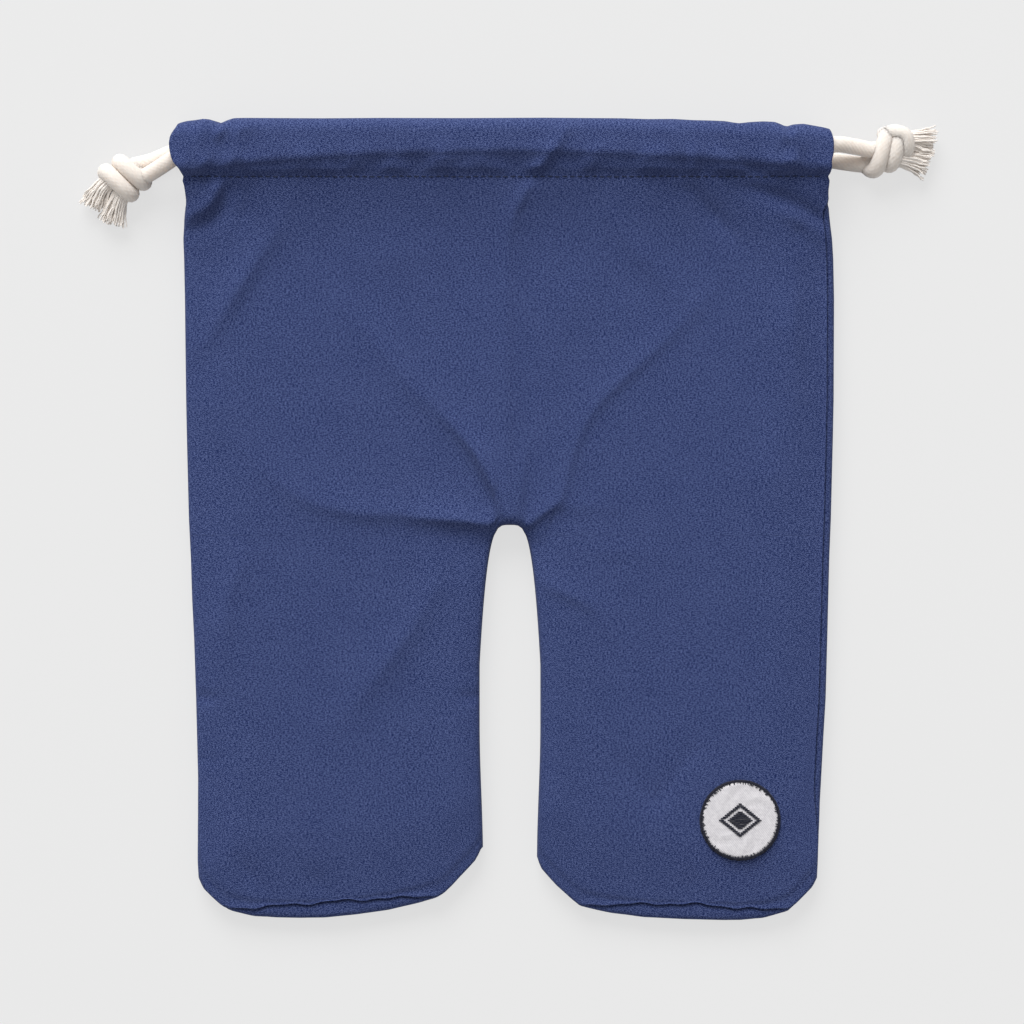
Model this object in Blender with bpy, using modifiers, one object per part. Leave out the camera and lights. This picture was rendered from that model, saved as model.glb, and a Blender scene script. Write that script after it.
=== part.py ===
# Canvas shoe bag shaped like a pair of short trousers: one leg for each shoe, with a drawstring casing
# round the mouth. It lies flat on its back panel, mouth towards +Y. Metres, +Z up. The origin is on the
# table, under the middle of the cloth.

import math

import bmesh
import bpy
from mathutils import Matrix, Vector

mm = 0.001

# Cloth
cloth = 0.8 * mm  # canvas thickness
seam_gap = 0.3 * mm  # clearance between two sewn edges
rest_gap = 0.3 * mm  # clearance between a piece and what it lies on
seam_allowance = 6.0 * mm  # edge of each panel turned inside at a seam
clipped_allowance = 1.5 * mm
corner_bend = math.radians(20)  # the edge turns a corner where it bends more than this

# Outline, seen from above
bag_height = 400.5 * mm
casing_width = 331.5 * mm
casing_depth = 29.7 * mm  # top edge to the line of stitching
hem_return = 3.0 * mm  # hem below its own stitching
leg_shift = 3.75 * mm  # legs and crotch lie this far right of the casing's middle
hip_half_width = 161.5 * mm
ankle_half_width = 155.0 * mm
hip_above_crotch = 63 * mm  # the sides run in from here
ankle_above_sole = 43 * mm  # down to here
gap_in_above_sole = (90 * mm, 22 * mm)  # the gap narrows again between these
waist_pinch = 2.2 * mm  # the sides draw in just under the casing
rise = 203.5 * mm  # top edge to crotch
leg_gap_half = 15.2 * mm
leg_gap_run = 70 * mm  # length over which the gap between the legs opens
ankle_gap_half = 13.5 * mm
arch_half = 8.0 * mm  # flat top of the gap
outer_cut = 12.0 * mm  # boxed corner on the outer side of a leg
outer_cut_rise = 15.5 * mm
inner_cut = 22.0 * mm
inner_cut_rise = 22.5 * mm
sole_sag = 7.0 * mm  # bulge of a leg's end below the line between its corners
left_sole_tilt = 4.5 * mm  # the inner corner of the left leg lies higher
right_sole_tilt = 0.5 * mm

# Height of the empty bag on the table
body_height = 13.5 * mm
side_level = 5.0 * mm  # height of the outermost edge
side_roll = 8.0 * mm  # width of the rounded side
sole_roll = 10.0 * mm
side_seam_turn = math.radians(56)  # how far the side seams have rolled off the edge
sole_seam_turn = math.radians(68)
crotch_dip = 3.0 * mm
crotch_dip_reach = 18 * mm

# Casing and drawstrings
cord_diameter = 8.0 * mm
cord_clearance = 0.6 * mm
mouth_gap = 5.6 * mm
track_spacing = 9.0 * mm  # the two cords in one casing lie side by side
track_bow = 8.0 * mm  # cords lie nearer the top edge at the middle of the casing
top_clearance = 1.0 * mm  # between the upper cord and the casing's top edge, at the middle
nose_depth = 7.0 * mm  # rounding of the top edge
slit_inset = 16.0 * mm  # the inner layer of each casing stops short of its ends
slit_height = 15.0 * mm  # side slit below the stitching
turn_inset = 17.0 * mm  # where a cord turns from one casing to the other
cord_spacing = 20 * mm  # between the points of a cord

# Knots and frayed ends
knot_half_size = (12.0 * mm, 11.2 * mm, 9.0 * mm)
left_knot_at = (-188.5 * mm, 171.0 * mm)
left_knot_turn = math.radians(218)  # from the X axis to where the frayed ends point
right_knot_at = (193.0 * mm, 184.0 * mm)
right_knot_turn = math.radians(8)
wrap_groove = 1.2 * mm
wrap_spacing = 8.0 * mm
tuft_radii = (2.8 * mm, 3.1 * mm, 4.2 * mm, 4.6 * mm)

# Badge
badge_diameter = 40.0 * mm
badge_thickness = 1.0 * mm
border_width = 2.2 * mm
border_height = 1.5 * mm
badge_side_inset = 40.0 * mm  # its middle from the outer side and from the end of the right leg
badge_sole_inset = 42.5 * mm
motif_width = 21.0 * mm
motif_height = 17.0 * mm
motif_band = 2.2 * mm
motif_thickness = 0.5 * mm

# Levels and lines that follow
top_y = bag_height / 2
stitch_y = top_y - casing_depth
slit_y = stitch_y - slit_height
crotch_y = top_y - rise
leg_top_y = crotch_y - leg_gap_run * (arch_half / leg_gap_half) ** 4
sole_y = -bag_height / 2 + sole_sag
leg_width = ankle_half_width - ankle_gap_half
casing_half = casing_width / 2
casing_height = 2 * cloth + 2 * cord_clearance + cord_diameter
stitched_height = 2 * cloth + seam_gap
front_hem_z = casing_height + mouth_gap
back_cord_z = cloth + cord_clearance + cord_diameter / 2
front_cord_z = front_hem_z + back_cord_z
side_gap_turn = seam_gap / (side_roll + side_level)
sole_gap_turn = seam_gap / (sole_roll + side_level)
badge_x = leg_shift + ankle_half_width - badge_side_inset
badge_y = sole_y + badge_sole_inset
badge_z = body_height + rest_gap

# Folds of the front panel, by the point that they are measured from: the crotch, the middle of the line of
# stitching and the middle between the ends of the legs. Each has its height, its width on the left and the
# right of its path, and the path, in mm. It is a ridge, or a valley where its height is negative.
folds = {
    (leg_shift, crotch_y): (
        (3.6, 9, 26, ((-3, 4), (-19, 23), (-35, 45), (-79, 95))),
        (-3.0, 12, 9, ((-4, 5), (-40, 9), (-89, 15), (-116, 33))),
        (-3.2, 9, 14, ((11, 3), (26, 12), (38, 43), (64, 79), (94, 119))),
        (2.2, 24, 10, ((1, 17), (2, 63), (4, 153))),
        (-2.2, 16, 16, ((-32, -35), (-66, -81), (-104, -119))),
        (2.4, 14, 16, ((22, -32), (48, -59), (72, -81))),
    ),
    (0.0, stitch_y): (
        (-3.0, 10, 14, ((-139, 1), (-147, -13), (-155, -24))),
        (-2.6, 12, 10, ((90, -7), (125, -11), (156, -23))),
        (-2.4, 12, 14, ((-118, -43), (-150, -97))),
    ),
    (leg_shift, sole_y): ((-2.4, 12, 12, ((-141, 183), (-138, 118), (-140, 68))),),
}

# Puckers of the top edge where the cords have gathered it: place, depth and width in mm
puckers = ((-138, 3.0, 5), (94, 1.6, 8), (119, 2.4, 7), (142, 3.6, 6), (156, 2.0, 7))

# Grid of a panel; a face is 1 for the front panel and -1 for the back one
side_steps = 3
leg_steps = 6
gap_steps = 2
arch_steps = 4
dome_turns = (0, 32, 62, 90)
nose_turns = (54, 18, -18, -54, -90)
body_levels = {
    1: (2, 7, 15, 28, 46, 68, 92, 114, 134, 149, 157, 164, 171),
    -1: (3, 12, 46, 92, 134, 149, 157, 164, 171),
}
leg_rows = 6
sole_rows = 3


def smooth(value, start, end):
    """0 at start, 1 at end, and level at both."""
    t = min(1.0, max(0.0, (value - start) / (end - start)))
    return t * t * (3 - 2 * t)


def mix(a, b, share):
    return a + (b - a) * share


def bump(offset, width):
    return math.exp(-((offset / width) ** 2))


def side_half_width(y):
    taper = smooth(y, crotch_y + hip_above_crotch, sole_y + ankle_above_sole)
    pinch = waist_pinch * bump(y - (stitch_y + slit_y) / 2, 12 * mm)
    return mix(hip_half_width, ankle_half_width, taper) - pinch


def gap_half_width(y):
    """Half the width of the gap between the legs."""
    below = max(0.0, crotch_y - y)
    opened = leg_gap_half * min(1.0, below / leg_gap_run) ** 0.25
    start, end = (sole_y + height for height in gap_in_above_sole)
    return opened - (leg_gap_half - ankle_gap_half) * smooth(y, start, end)


def arch_y(x):
    """Edge of the crotch above the gap."""
    across = min(abs(x - leg_shift), arch_half) / leg_gap_half
    return crotch_y - leg_gap_run * across**4


def upper_track_y(x):
    middle = top_y - cloth - top_clearance - cord_diameter / 2
    return middle - track_bow * (x / casing_half) ** 2


def lower_track_y(x):
    return upper_track_y(x) - track_spacing


def casing_end_x(side, y):
    """Open end of a casing: round on the left, squarer on the right."""
    off = min(1.0, abs(y - (top_y + stitch_y) / 2) / (casing_depth * 0.51))
    power, depth = (2.2, 7.5 * mm) if side < 0 else (4.0, 4.5 * mm)
    return side * (casing_half - depth * (1 - (1 - off**power) ** (1 / power)))


def top_edge_y(x):
    return top_y - sum(depth * mm * bump(x - at * mm, width * mm) for at, depth, width in puckers)


def side_x(side, y):
    """Outermost edge of a leg and of the body, which widens to the end of the casing."""
    body = leg_shift + side * side_half_width(y)
    return mix(body, casing_end_x(side, stitch_y), smooth(y, slit_y, stitch_y))


def sole_edge_y(side, x):
    """Lower edge of a leg, from its outer corner to its inner one."""
    along = abs(leg_shift + side * ankle_half_width - x)
    tilt = left_sole_tilt if side < 0 else right_sole_tilt
    if along < outer_cut:
        return sole_y + outer_cut_rise * (1 - along / outer_cut)
    if along > leg_width - inner_cut:
        return sole_y + tilt + inner_cut_rise * (1 - (leg_width - along) / inner_cut)
    share = (along - outer_cut) / (leg_width - outer_cut - inner_cut)
    return sole_y + tilt * share - sole_sag * math.sin(math.pi * share**0.7)


def path_distance(point, corners):
    """Distance from a path, and whether the point lies on its left."""
    nearest = []
    for start, end in zip(corners, corners[1:]):
        run = end - start
        share = min(1.0, max(0.0, (point - start).dot(run) / run.length_squared))
        nearest.append(((point - start - run * share).length, run.cross(point - start) > 0))
    return min(nearest)


def fold_height(x, y):
    total = 0.0
    for origin, group in folds.items():
        for height, left_width, right_width, path in group:
            corners = [Vector(origin) + Vector(corner) * mm for corner in path]
            off, on_left = path_distance(Vector((x, y)), corners)
            total += height * mm * bump(off, (left_width if on_left else right_width) * mm)
    return total


def crotch_distance(x, y):
    """Distance from the edge above the gap between the legs."""
    edge = [leg_shift + mix(-arch_half, arch_half, k / 24) for k in range(25)]
    return min(math.hypot(x - edge_x, y - arch_y(edge_x)) for edge_x in edge)


def top_height(x, y):
    """Height of the front panel's outer face away from its edges."""
    casing_rise = front_hem_z + stitched_height - body_height
    height = body_height + casing_rise * smooth(y, stitch_y - 52 * mm, stitch_y - hem_return)
    badge_off = math.hypot(x - badge_x, y - badge_y) - badge_diameter / 2
    folded = smooth(badge_off, 18 * mm, 40 * mm) * smooth(y, stitch_y - hem_return, slit_y)
    dip = crotch_dip * bump(crotch_distance(x, y), crotch_dip_reach)
    return height + folded * fold_height(x, y) - dip


def side_turn(side, y):
    """Angle of a side seam round the edge. Both have rolled the same way, so the right one is on top."""
    shown = smooth(y, -172 * mm, -120 * mm) * (1 - smooth(y, stitch_y - 30 * mm, slit_y))
    return side * side_seam_turn * shown


def sole_turn(side, x):
    along = abs(leg_shift + side * ankle_half_width - x)
    share = (along - outer_cut) / (leg_width - outer_cut - inner_cut)
    return sole_seam_turn * math.sin(math.pi * min(1.0, max(0.0, share))) ** 0.6


def panel_columns():
    """Columns of a panel as (side of the bag, zone, share of that zone), from left to right."""
    left = [(-1, "side", k / side_steps) for k in range(side_steps)]
    left += [(-1, "leg", k / leg_steps) for k in range(leg_steps)]
    left += [(-1, "gap", k / gap_steps) for k in range(gap_steps + 1)]
    arch = [(0, "arch", k / arch_steps) for k in range(1, arch_steps)]
    right = [(1, zone, share) for _, zone, share in reversed(left)]
    return left + arch + right


def panel_rows(face):
    """Rows of a panel as (zone, share or step), from the sole to the hem of the casing."""
    rows = [("sole", 1 - k / sole_rows) for k in range(sole_rows)]
    rows += [("leg", 1 - k / leg_rows) for k in range(leg_rows)]
    rows += [("body", 0.0)]
    rows += [("body", level * mm / (stitch_y - leg_top_y)) for level in body_levels[face]]
    rows += [("casing", step) for step in range(len(casing_section(0, face)))]
    return rows


def across_leg(face, column, y):
    """Place across a leg, and height share: 1 on top, 0 at the edge, -1 on the table."""
    side, zone, share = column
    outer = side_x(side, y)
    inner = leg_shift + side * gap_half_width(y)
    if zone == "side":
        turn = mix(side_turn(side, y) + face * side_gap_turn, face * math.pi / 2, share)
        opened = smooth(y, slit_y, stitch_y - hem_return)
        inset = side_roll * mix(1 - math.cos(turn), share, opened)
        return outer - side * inset, mix(math.sin(turn), face, opened)
    if zone == "gap":
        turn = face * mix(math.pi / 2, side_gap_turn, share)
        return inner + side * side_roll * (1 - math.cos(turn)), math.sin(turn)
    return mix(outer - side * side_roll, inner + side * side_roll, share), face


def across_body(face, columns, index, y):
    """Place across the body, where the columns spread out evenly towards the casing."""
    column = columns[index]
    if column[1] == "side":
        return across_leg(face, column, y)
    left = side_x(-1, y) + side_roll
    right = side_x(1, y) - side_roll
    even = mix(left, right, (index - side_steps) / (len(columns) - 1 - 2 * side_steps))
    if column[1] == "arch":
        start = leg_shift + mix(-arch_half, arch_half, column[2])
    else:
        start = across_leg(face, column, leg_top_y)[0]
    return mix(start, even, 0.85 * smooth(y, leg_top_y, stitch_y)), face


def outer_face(face, x, y, height):
    """A point of the outer face, from its height share."""
    edge = side_level + face * seam_gap / 2
    if height > 0:
        return Vector((x, y, edge + (top_height(x, y) - edge) * height))
    return Vector((x, y, edge * (1 + height)))


def leg_point(face, column, row):
    zone, share = row
    side = column[0]
    seam_x = across_leg(face, column, sole_y)[0]
    turn = face * math.pi / 2
    if zone == "sole":
        turn = mix(turn, sole_turn(side, seam_x) + face * sole_gap_turn, share)
    y = sole_edge_y(side, seam_x) + sole_roll * (1 - math.cos(turn))
    if zone == "leg":
        y = mix(leg_top_y, y, share)
    x, height = across_leg(face, column, y)
    rolled = math.sin(turn)
    sign = min(height, rolled) if face > 0 else max(height, rolled)
    return outer_face(face, x, y, math.copysign(abs(height * rolled), sign))


def body_point(face, columns, index, share):
    column = columns[index]
    if share == 0 and column[1] != "arch":
        x, height = across_leg(face, column, leg_top_y)
        return outer_face(face, x, leg_top_y, height)
    x = across_body(face, columns, index, mix(leg_top_y, stitch_y, share))[0]
    y = mix(arch_y(x), stitch_y, share)
    x, height = across_body(face, columns, index, y)
    inside = min(1.0, crotch_distance(x, y) / side_roll)
    near = math.sqrt(1 - (1 - inside) ** 2)
    return outer_face(face, x, y, height * max(near, math.sin(side_gap_turn)))


def casing_section(x, face):
    """Outer face of a casing as (y, height) from the stitching round to the end of its hem. It is flat on
    the side of the table or the mouth, and domed over the cords on the other side."""
    edge = top_edge_y(x)
    run = lower_track_y(x) - stitch_y
    dome = []
    for degrees in dome_turns:
        turn = math.radians(degrees)
        height = mix(stitched_height, casing_height, math.sin(turn))
        dome.append((stitch_y + run * (1 - math.cos(turn)), height))
    nose = [(edge - nose_depth, casing_height)]
    for degrees in nose_turns:
        turn = math.radians(degrees)
        nose.append((edge - nose_depth * (1 - math.cos(turn)), casing_height / 2 * (1 + math.sin(turn))))
    loop = dome + nose + [(stitch_y, 0.0)]
    if face < 0:
        loop.reverse()
    return loop + [(stitch_y - hem_return, loop[-1][1])]


def casing_point(face, columns, index, step):
    """The inner layer stops short of the casing's ends, where the cords turn back."""
    left, right = side_x(-1, stitch_y), side_x(1, stitch_y)
    across = (body_point(face, columns, index, 1.0).x - left) / (right - left)
    section = casing_section(mix(-casing_half, casing_half, across), face)
    y, height = section[step]
    nose_start = len(dome_turns) if face > 0 else 1
    turned_in = slit_inset * smooth(step, nose_start, nose_start + len(nose_turns))
    x = mix(casing_end_x(-1, y) + turned_in, casing_end_x(1, y) - turned_in, across)
    base = front_hem_z if face > 0 else 0.0
    return Vector((x, y, base + height))


def seam_at(column, row, place):
    """Turn of the seam at an outer grid point, and roughly which way the inside lies."""
    side, zone, _ = column
    if row == ("sole", 1.0):
        return sole_turn(side, place.x), Vector((0, 1))
    if zone == "side":
        return side_turn(side, place.y), Vector((-side, 0))
    return 0.0, Vector((side, 0)) if side else Vector((0, 1))


def turn_seams_in(bm, seams):
    """Seam allowance: a panel's edge is turned inside, square to the rolled surface, and clipped at the
    corners of the legs."""
    edges = [e for e in bm.edges if e.is_boundary and all(v.co.y < slit_y for v in e.verts)]
    inward = []
    corners = []
    for vert in {v for e in edges for v in e.verts}:
        a, b = [e.other_vert(vert).co for e in vert.link_edges if e.is_boundary]
        along = (a - b).xy.normalized()
        normal = Vector((-along.y, along.x))
        turn, inside = seams[vert]
        if normal.dot(inside) < 0:
            normal.negate()
        inward.append((vert.co.copy(), Vector((*(normal * math.cos(turn)), -math.sin(turn)))))
        if (a - vert.co).angle(vert.co - b) > corner_bend:
            corners.append(vert.co.copy())
    made = bmesh.ops.extrude_edge_only(bm, edges=edges)
    for vert in [v for v in made["geom"] if isinstance(v, bmesh.types.BMVert)]:
        direction = min(inward, key=lambda entry: (entry[0] - vert.co).length_squared)[1]
        to_corner = min((corner - vert.co).length for corner in corners)
        vert.co += direction * min(seam_allowance, clipped_allowance + to_corner * 0.6)


def new_material(name, colour, roughness):
    material = bpy.data.materials.new(name)
    material.use_nodes = True
    shader = material.node_tree.nodes["Principled BSDF"]
    shader.inputs["Base Color"].default_value = (*colour, 1)
    shader.inputs["Roughness"].default_value = roughness
    shader.inputs["Metallic"].default_value = 0.0
    return material


def new_object(name, data, collection, material=None):
    item = bpy.data.objects.new(name, data)
    collection.objects.link(item)
    if material:
        data.materials.append(material)
    return item


def make_panel(name, face, collection, material):
    columns, rows = panel_columns(), panel_rows(face)
    crotch_row = rows.index(("body", 0.0))
    bm = bmesh.new()
    bmesh.ops.create_grid(bm, x_segments=len(columns) - 1, y_segments=len(rows) - 1, size=0.5)
    places = {}
    for vert in bm.verts:
        index = round((vert.co.x + 0.5) * (len(columns) - 1))
        level = round((vert.co.y + 0.5) * (len(rows) - 1))
        places[vert] = (index, level)
    gap = [v for v, (index, level) in places.items() if level < crotch_row and columns[index][1] == "arch"]
    bmesh.ops.delete(bm, geom=gap, context="VERTS")
    seams = {}
    for vert in bm.verts:
        index, level = places[vert]
        zone, share = rows[level]
        if zone == "casing":
            vert.co = casing_point(face, columns, index, share)
        elif zone == "body":
            vert.co = body_point(face, columns, index, share)
        else:
            vert.co = leg_point(face, columns[index], rows[level])
        seams[vert] = seam_at(columns[index], rows[level], vert.co)
    turn_seams_in(bm, seams)
    bmesh.ops.recalc_face_normals(bm, faces=bm.faces)
    middle = min(bm.faces, key=lambda f: (f.calc_center_median().xy - Vector((0, stitch_y / 2))).length)
    if middle.normal.z * face < 0:
        bmesh.ops.reverse_faces(bm, faces=bm.faces)
    data = bpy.data.meshes.new(name)
    bm.to_mesh(data)
    bm.free()
    data.shade_smooth()
    panel = new_object(name, data, collection, material)
    layer = panel.modifiers.new("Cloth", "SOLIDIFY")
    layer.thickness = cloth
    layer.offset = -1
    layer.use_even_offset = True


def smooth_route(points, spacing):
    """Points at about this spacing on a smooth curve through the given ones."""
    path = []
    ends = [2 * points[0] - points[1], *points, 2 * points[-1] - points[-2]]
    for a, b, c, d in zip(ends, ends[1:], ends[2:], ends[3:]):
        count = max(1, round((c - b).length / spacing))
        for k in range(count):
            t = k / count
            bend = (c - a) * t + (2 * a - 5 * b + 4 * c - d) * t**2 + (3 * b - a - 3 * c + d) * t**3
            path.append(b + bend / 2)
    return path + [points[-1]]


def make_tube(name, points, radii, collection, material=None):
    """A round cord through these points."""
    curve = bpy.data.curves.new(name, "CURVE")
    curve.dimensions = "3D"
    curve.bevel_depth = max(radii)
    curve.bevel_resolution = 2
    curve.use_fill_caps = True
    spline = curve.splines.new("POLY")
    spline.points.add(len(points) - 1)
    for point, place, radius in zip(spline.points, points, radii):
        point.co = (*place, 1)
        point.radius = radius / max(radii)
    return new_object(name, curve, collection, material)


def make_socket(name, points, radii, cutters):
    """Cutter for the hollow in a knot that a cord or a frayed end reaches into; it starts inside."""
    deeper = points[0] + (points[0] - points[1]).normalized() * rest_gap
    fatter = [radius + rest_gap for radius in radii]
    tube = make_tube(name + "_route", [deeper, *points[1:]], fatter, cutters)
    data = bpy.data.meshes.new_from_object(tube.evaluated_get(bpy.context.evaluated_depsgraph_get()))
    bpy.data.objects.remove(tube)
    bm = bmesh.new()
    bm.from_mesh(data)
    bmesh.ops.remove_doubles(bm, verts=bm.verts, dist=0.01 * mm)
    bmesh.ops.recalc_face_normals(bm, faces=bm.faces)
    bm.to_mesh(data)
    bm.free()
    cutter = new_object(name, data, cutters)
    cutter.hide_render = True
    cutter.display_type = "WIRE"
    return cutter


def make_knot(name, frame, sockets, collection, material):
    """Lumpy solid of an overhand knot: slanting wraps with grooves between them."""
    bm = bmesh.new()
    bmesh.ops.create_uvsphere(bm, u_segments=18, v_segments=12, radius=1)
    for vert in bm.verts:
        outer = Vector(a * b for a, b in zip(vert.co, knot_half_size))
        slant = outer.x * 0.8 + outer.y * 0.6
        off = (slant / wrap_spacing + 0.5) % 1 - 0.5
        groove = wrap_groove * bump(off, 0.22) * (1 - vert.co.x**4)
        vert.co = outer - vert.co * groove
    bm.transform(frame)
    data = bpy.data.meshes.new(name)
    bm.to_mesh(data)
    bm.free()
    knot = new_object(name, data, collection, material)
    for socket in sockets:
        cut = knot.modifiers.new(socket.name, "BOOLEAN")
        cut.operation = "DIFFERENCE"
        cut.object = socket


def drawstring_points(side, track_y):
    """Inside the casings: through the front one, round at the far end and back through the back one."""
    far = casing_half - turn_inset
    radius = (front_cord_z - back_cord_z) / 2
    middle = (front_cord_z + back_cord_z) / 2
    stations = [side * casing_half * k / 4 for k in (3, 2, 1, 0, -1, -2, -3)]
    front = [Vector((x, track_y(x), front_cord_z)) for x in stations]
    turn = []
    for degrees in range(0, 181, 30):
        angle = math.radians(degrees)
        x = -side * (far + radius * math.sin(angle))
        turn.append(Vector((x, track_y(far), middle + radius * math.cos(angle))))
    back = [Vector((x, track_y(x), back_cord_z)) for x in reversed(stations)]
    return front + turn + back


def make_drawstring(prefix, side, track_y, frame, strands, tufts, parts, cutters, material):
    """A cord with both ends tied in one knot outside the casing. Strands and tufts are given in mm: the
    first in the knot's frame, then, for a strand, in the bag's."""
    routes = [
        [frame @ (Vector(p) * mm) for p in near] + [Vector(p) * mm for p in far] for near, far in strands
    ]
    inside = drawstring_points(side, track_y)
    path = smooth_route(routes[0] + inside + routes[1][::-1], cord_spacing)
    radius = cord_diameter / 2
    make_tube(prefix + "_drawstring", path, [radius] * len(path), parts, material)
    sockets = []
    for end, points in (("front", path[:4]), ("back", path[:-5:-1])):
        sockets.append(make_socket(f"{prefix}_{end}_socket", points, [radius] * len(points), cutters))
    for number, tuft in enumerate(tufts, 1):
        points = [frame @ (Vector(p) * mm) for p in tuft]
        make_tube(f"{prefix}_frayed_end_{number}", points, tuft_radii, parts, material.copy())
        sockets.append(make_socket(f"{prefix}_tuft_socket_{number}", points, tuft_radii, cutters))
    make_knot(prefix + "_knot", frame, sockets, parts, material.copy())


def knot_frame(at, turn):
    """Frame of a knot on the table: its X points towards the frayed ends."""
    return Matrix.Translation((*at, knot_half_size[2])) @ Matrix.Rotation(turn, 4, "Z")


def make_badge(collection):
    """Round sewn-on badge: ground, overlocked edge and a plain darned diamond."""
    radius = badge_diameter / 2
    place = Matrix.Translation((badge_x, badge_y, badge_z))
    bm = bmesh.new()
    ground_radius = radius - border_width - rest_gap
    bmesh.ops.create_cone(
        bm, segments=40, cap_ends=True, radius1=ground_radius, radius2=ground_radius, depth=badge_thickness
    )
    bm.transform(place @ Matrix.Translation((0, 0, badge_thickness / 2)))
    data = bpy.data.meshes.new("badge_ground")
    bm.to_mesh(data)
    bm.free()
    new_object("badge_ground", data, collection, new_material("white_twill", (0.78, 0.76, 0.78), 0.85))

    bpy.ops.mesh.primitive_torus_add(
        major_segments=40, minor_segments=6, major_radius=radius - border_width / 2, minor_radius=border_width / 2
    )
    border = bpy.context.object
    border.name = border.data.name = "badge_border"
    flat = Matrix.Diagonal((1, 1, border_height / border_width * 2 / math.sqrt(3), 1))
    border.data.transform(place @ Matrix.Translation((0, 0, border_height / 2)) @ flat)
    border.data.materials.append(new_material("dark_overlock", (0.012, 0.013, 0.026), 0.8))
    for owner in border.users_collection:
        owner.objects.unlink(border)
    collection.objects.link(border)

    thread = new_material("dark_thread", (0.014, 0.015, 0.03), 0.7)
    for name, insets in (("badge_diamond", (0, motif_band)), ("badge_diamond_centre", (2 * motif_band,))):
        motif = bpy.data.curves.new(name, "CURVE")
        motif.dimensions = "2D"
        motif.fill_mode = "BOTH"
        motif.extrude = motif_thickness / 2
        for inset in insets:
            spline = motif.splines.new("POLY")
            spline.use_cyclic_u = True
            spline.points.add(3)
            half_x = motif_width / 2 - inset
            half_y = half_x * motif_height / motif_width
            for point, (x, y) in zip(spline.points, ((half_x, 0), (0, half_y), (-half_x, 0), (0, -half_y))):
                point.co = (x, y, 0, 1)
        stitched = new_object(name, motif, collection, thread)
        stitched.location = (badge_x, badge_y, badge_z + badge_thickness + rest_gap + motif_thickness / 2)


def main():
    for item in list(bpy.data.objects):
        bpy.data.objects.remove(item)
    parts = bpy.data.collections.new("canvas_shoe_bag")
    cutters = bpy.data.collections.new("cutters")
    for collection in (parts, cutters):
        bpy.context.scene.collection.children.link(collection)

    canvas = new_material("navy_canvas", (0.042, 0.063, 0.175), 0.9)
    make_panel("front_panel", 1, parts, canvas)
    make_panel("back_panel", -1, parts, canvas.copy())

    cotton = new_material("cream_cotton", (0.82, 0.74, 0.66), 0.85)
    left_strands = (
        (((-7.5, -3.6, 2.8), (-13, -3.6, 2.8)), ((-172, 184, 17.5), (-163, 186.6, 21.2), (-148, 188.1, 21.8))),
        (((-7.5, 3.6, -2.8), (-13, 3.6, -2.8)), ((-169, 183.5, 5.6), (-161, 187.2, 5.4), (-148, 188.1, 5.4))),
    )
    left_tufts = (
        ((8, 3.2, 0), (13, 4.2, -1.5), (19, 7.5, -3.2), (24.5, 10.5, -4.2)),
        ((8, -3.2, 0), (13, -4.0, -1.5), (17.5, -4.0, -3.2), (21, -2.6, -4.2)),
    )
    left_frame = knot_frame(left_knot_at, left_knot_turn)
    make_drawstring("left", -1, upper_track_y, left_frame, left_strands, left_tufts, parts, cutters, cotton)
    right_strands = (
        (((-7.5, 3.6, 2.8), (-13, 3.6, 2.8)), ((172, 181.8, 17.5), (163, 178.6, 21.2), (148, 179.1, 21.8))),
        (((-7.5, -3.6, -2.8), (-13, -3.6, -2.8)), ((172, 177.8, 5.6), (163, 177.6, 5.4), (148, 179.1, 5.4))),
    )
    right_tufts = (
        ((8, 3.2, 0), (12, 4.6, -1.5), (16.5, 7.6, -3.2), (19.5, 10.5, -4.2)),
        ((8, -3.2, 0), (12.5, -4.2, -1.5), (17.5, -6.4, -3.2), (21.5, -8.6, -4.2)),
    )
    right_frame = knot_frame(right_knot_at, right_knot_turn)
    make_drawstring("right", 1, lower_track_y, right_frame, right_strands, right_tufts, parts, cutters, cotton.copy())
    make_badge(parts)


main()
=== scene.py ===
import math

import bmesh
import bpy
import numpy as np
from mathutils import Matrix, Vector
from mathutils.bvhtree import BVHTree


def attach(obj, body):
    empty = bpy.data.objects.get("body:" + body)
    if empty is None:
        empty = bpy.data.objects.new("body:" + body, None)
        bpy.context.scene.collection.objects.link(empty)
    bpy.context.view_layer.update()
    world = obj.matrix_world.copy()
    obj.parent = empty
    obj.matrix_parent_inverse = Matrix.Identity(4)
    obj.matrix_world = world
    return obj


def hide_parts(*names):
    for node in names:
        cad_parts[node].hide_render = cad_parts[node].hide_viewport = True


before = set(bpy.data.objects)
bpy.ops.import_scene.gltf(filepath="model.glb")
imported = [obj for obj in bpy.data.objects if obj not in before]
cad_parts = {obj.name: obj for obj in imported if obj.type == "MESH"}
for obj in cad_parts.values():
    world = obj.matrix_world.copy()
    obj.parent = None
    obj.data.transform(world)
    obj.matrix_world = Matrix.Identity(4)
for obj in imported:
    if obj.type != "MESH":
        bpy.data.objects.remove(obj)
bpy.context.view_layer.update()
mm = 0.001
print("frame loaded:", len(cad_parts), "nodes")


# Camera, table and light

view = dict(
    centre=(4.75 * mm, 3.25 * mm),
    level=13 * mm,  # the picture is 512 mm wide at this height
    width=512 * mm,
    lens=200,
    sensor=36,
)


def makeCamera():
    data = bpy.data.cameras.new("overheadCamera")
    data.lens = view["lens"]
    data.sensor_width = view["sensor"]
    distance = view["width"] * view["lens"] / view["sensor"]
    camera = bpy.data.objects.new("overheadCamera", data)
    camera.location = (*view["centre"], view["level"] + distance)
    data.clip_end = distance * 4
    bpy.context.scene.collection.objects.link(camera)
    bpy.context.scene.camera = camera


makeCamera()
bpy.context.scene.view_settings.view_transform = "Standard"


def smooth(value, start, end):  # 0 at start, 1 at end, and level at both
    t = np.clip((value - start) / (end - start), 0, 1)
    return t * t * (3 - 2 * t)


def mix(a, b, share):
    return a + (b - a) * share


def bell(offset, width):
    return np.exp(-((offset / width) ** 2))


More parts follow.
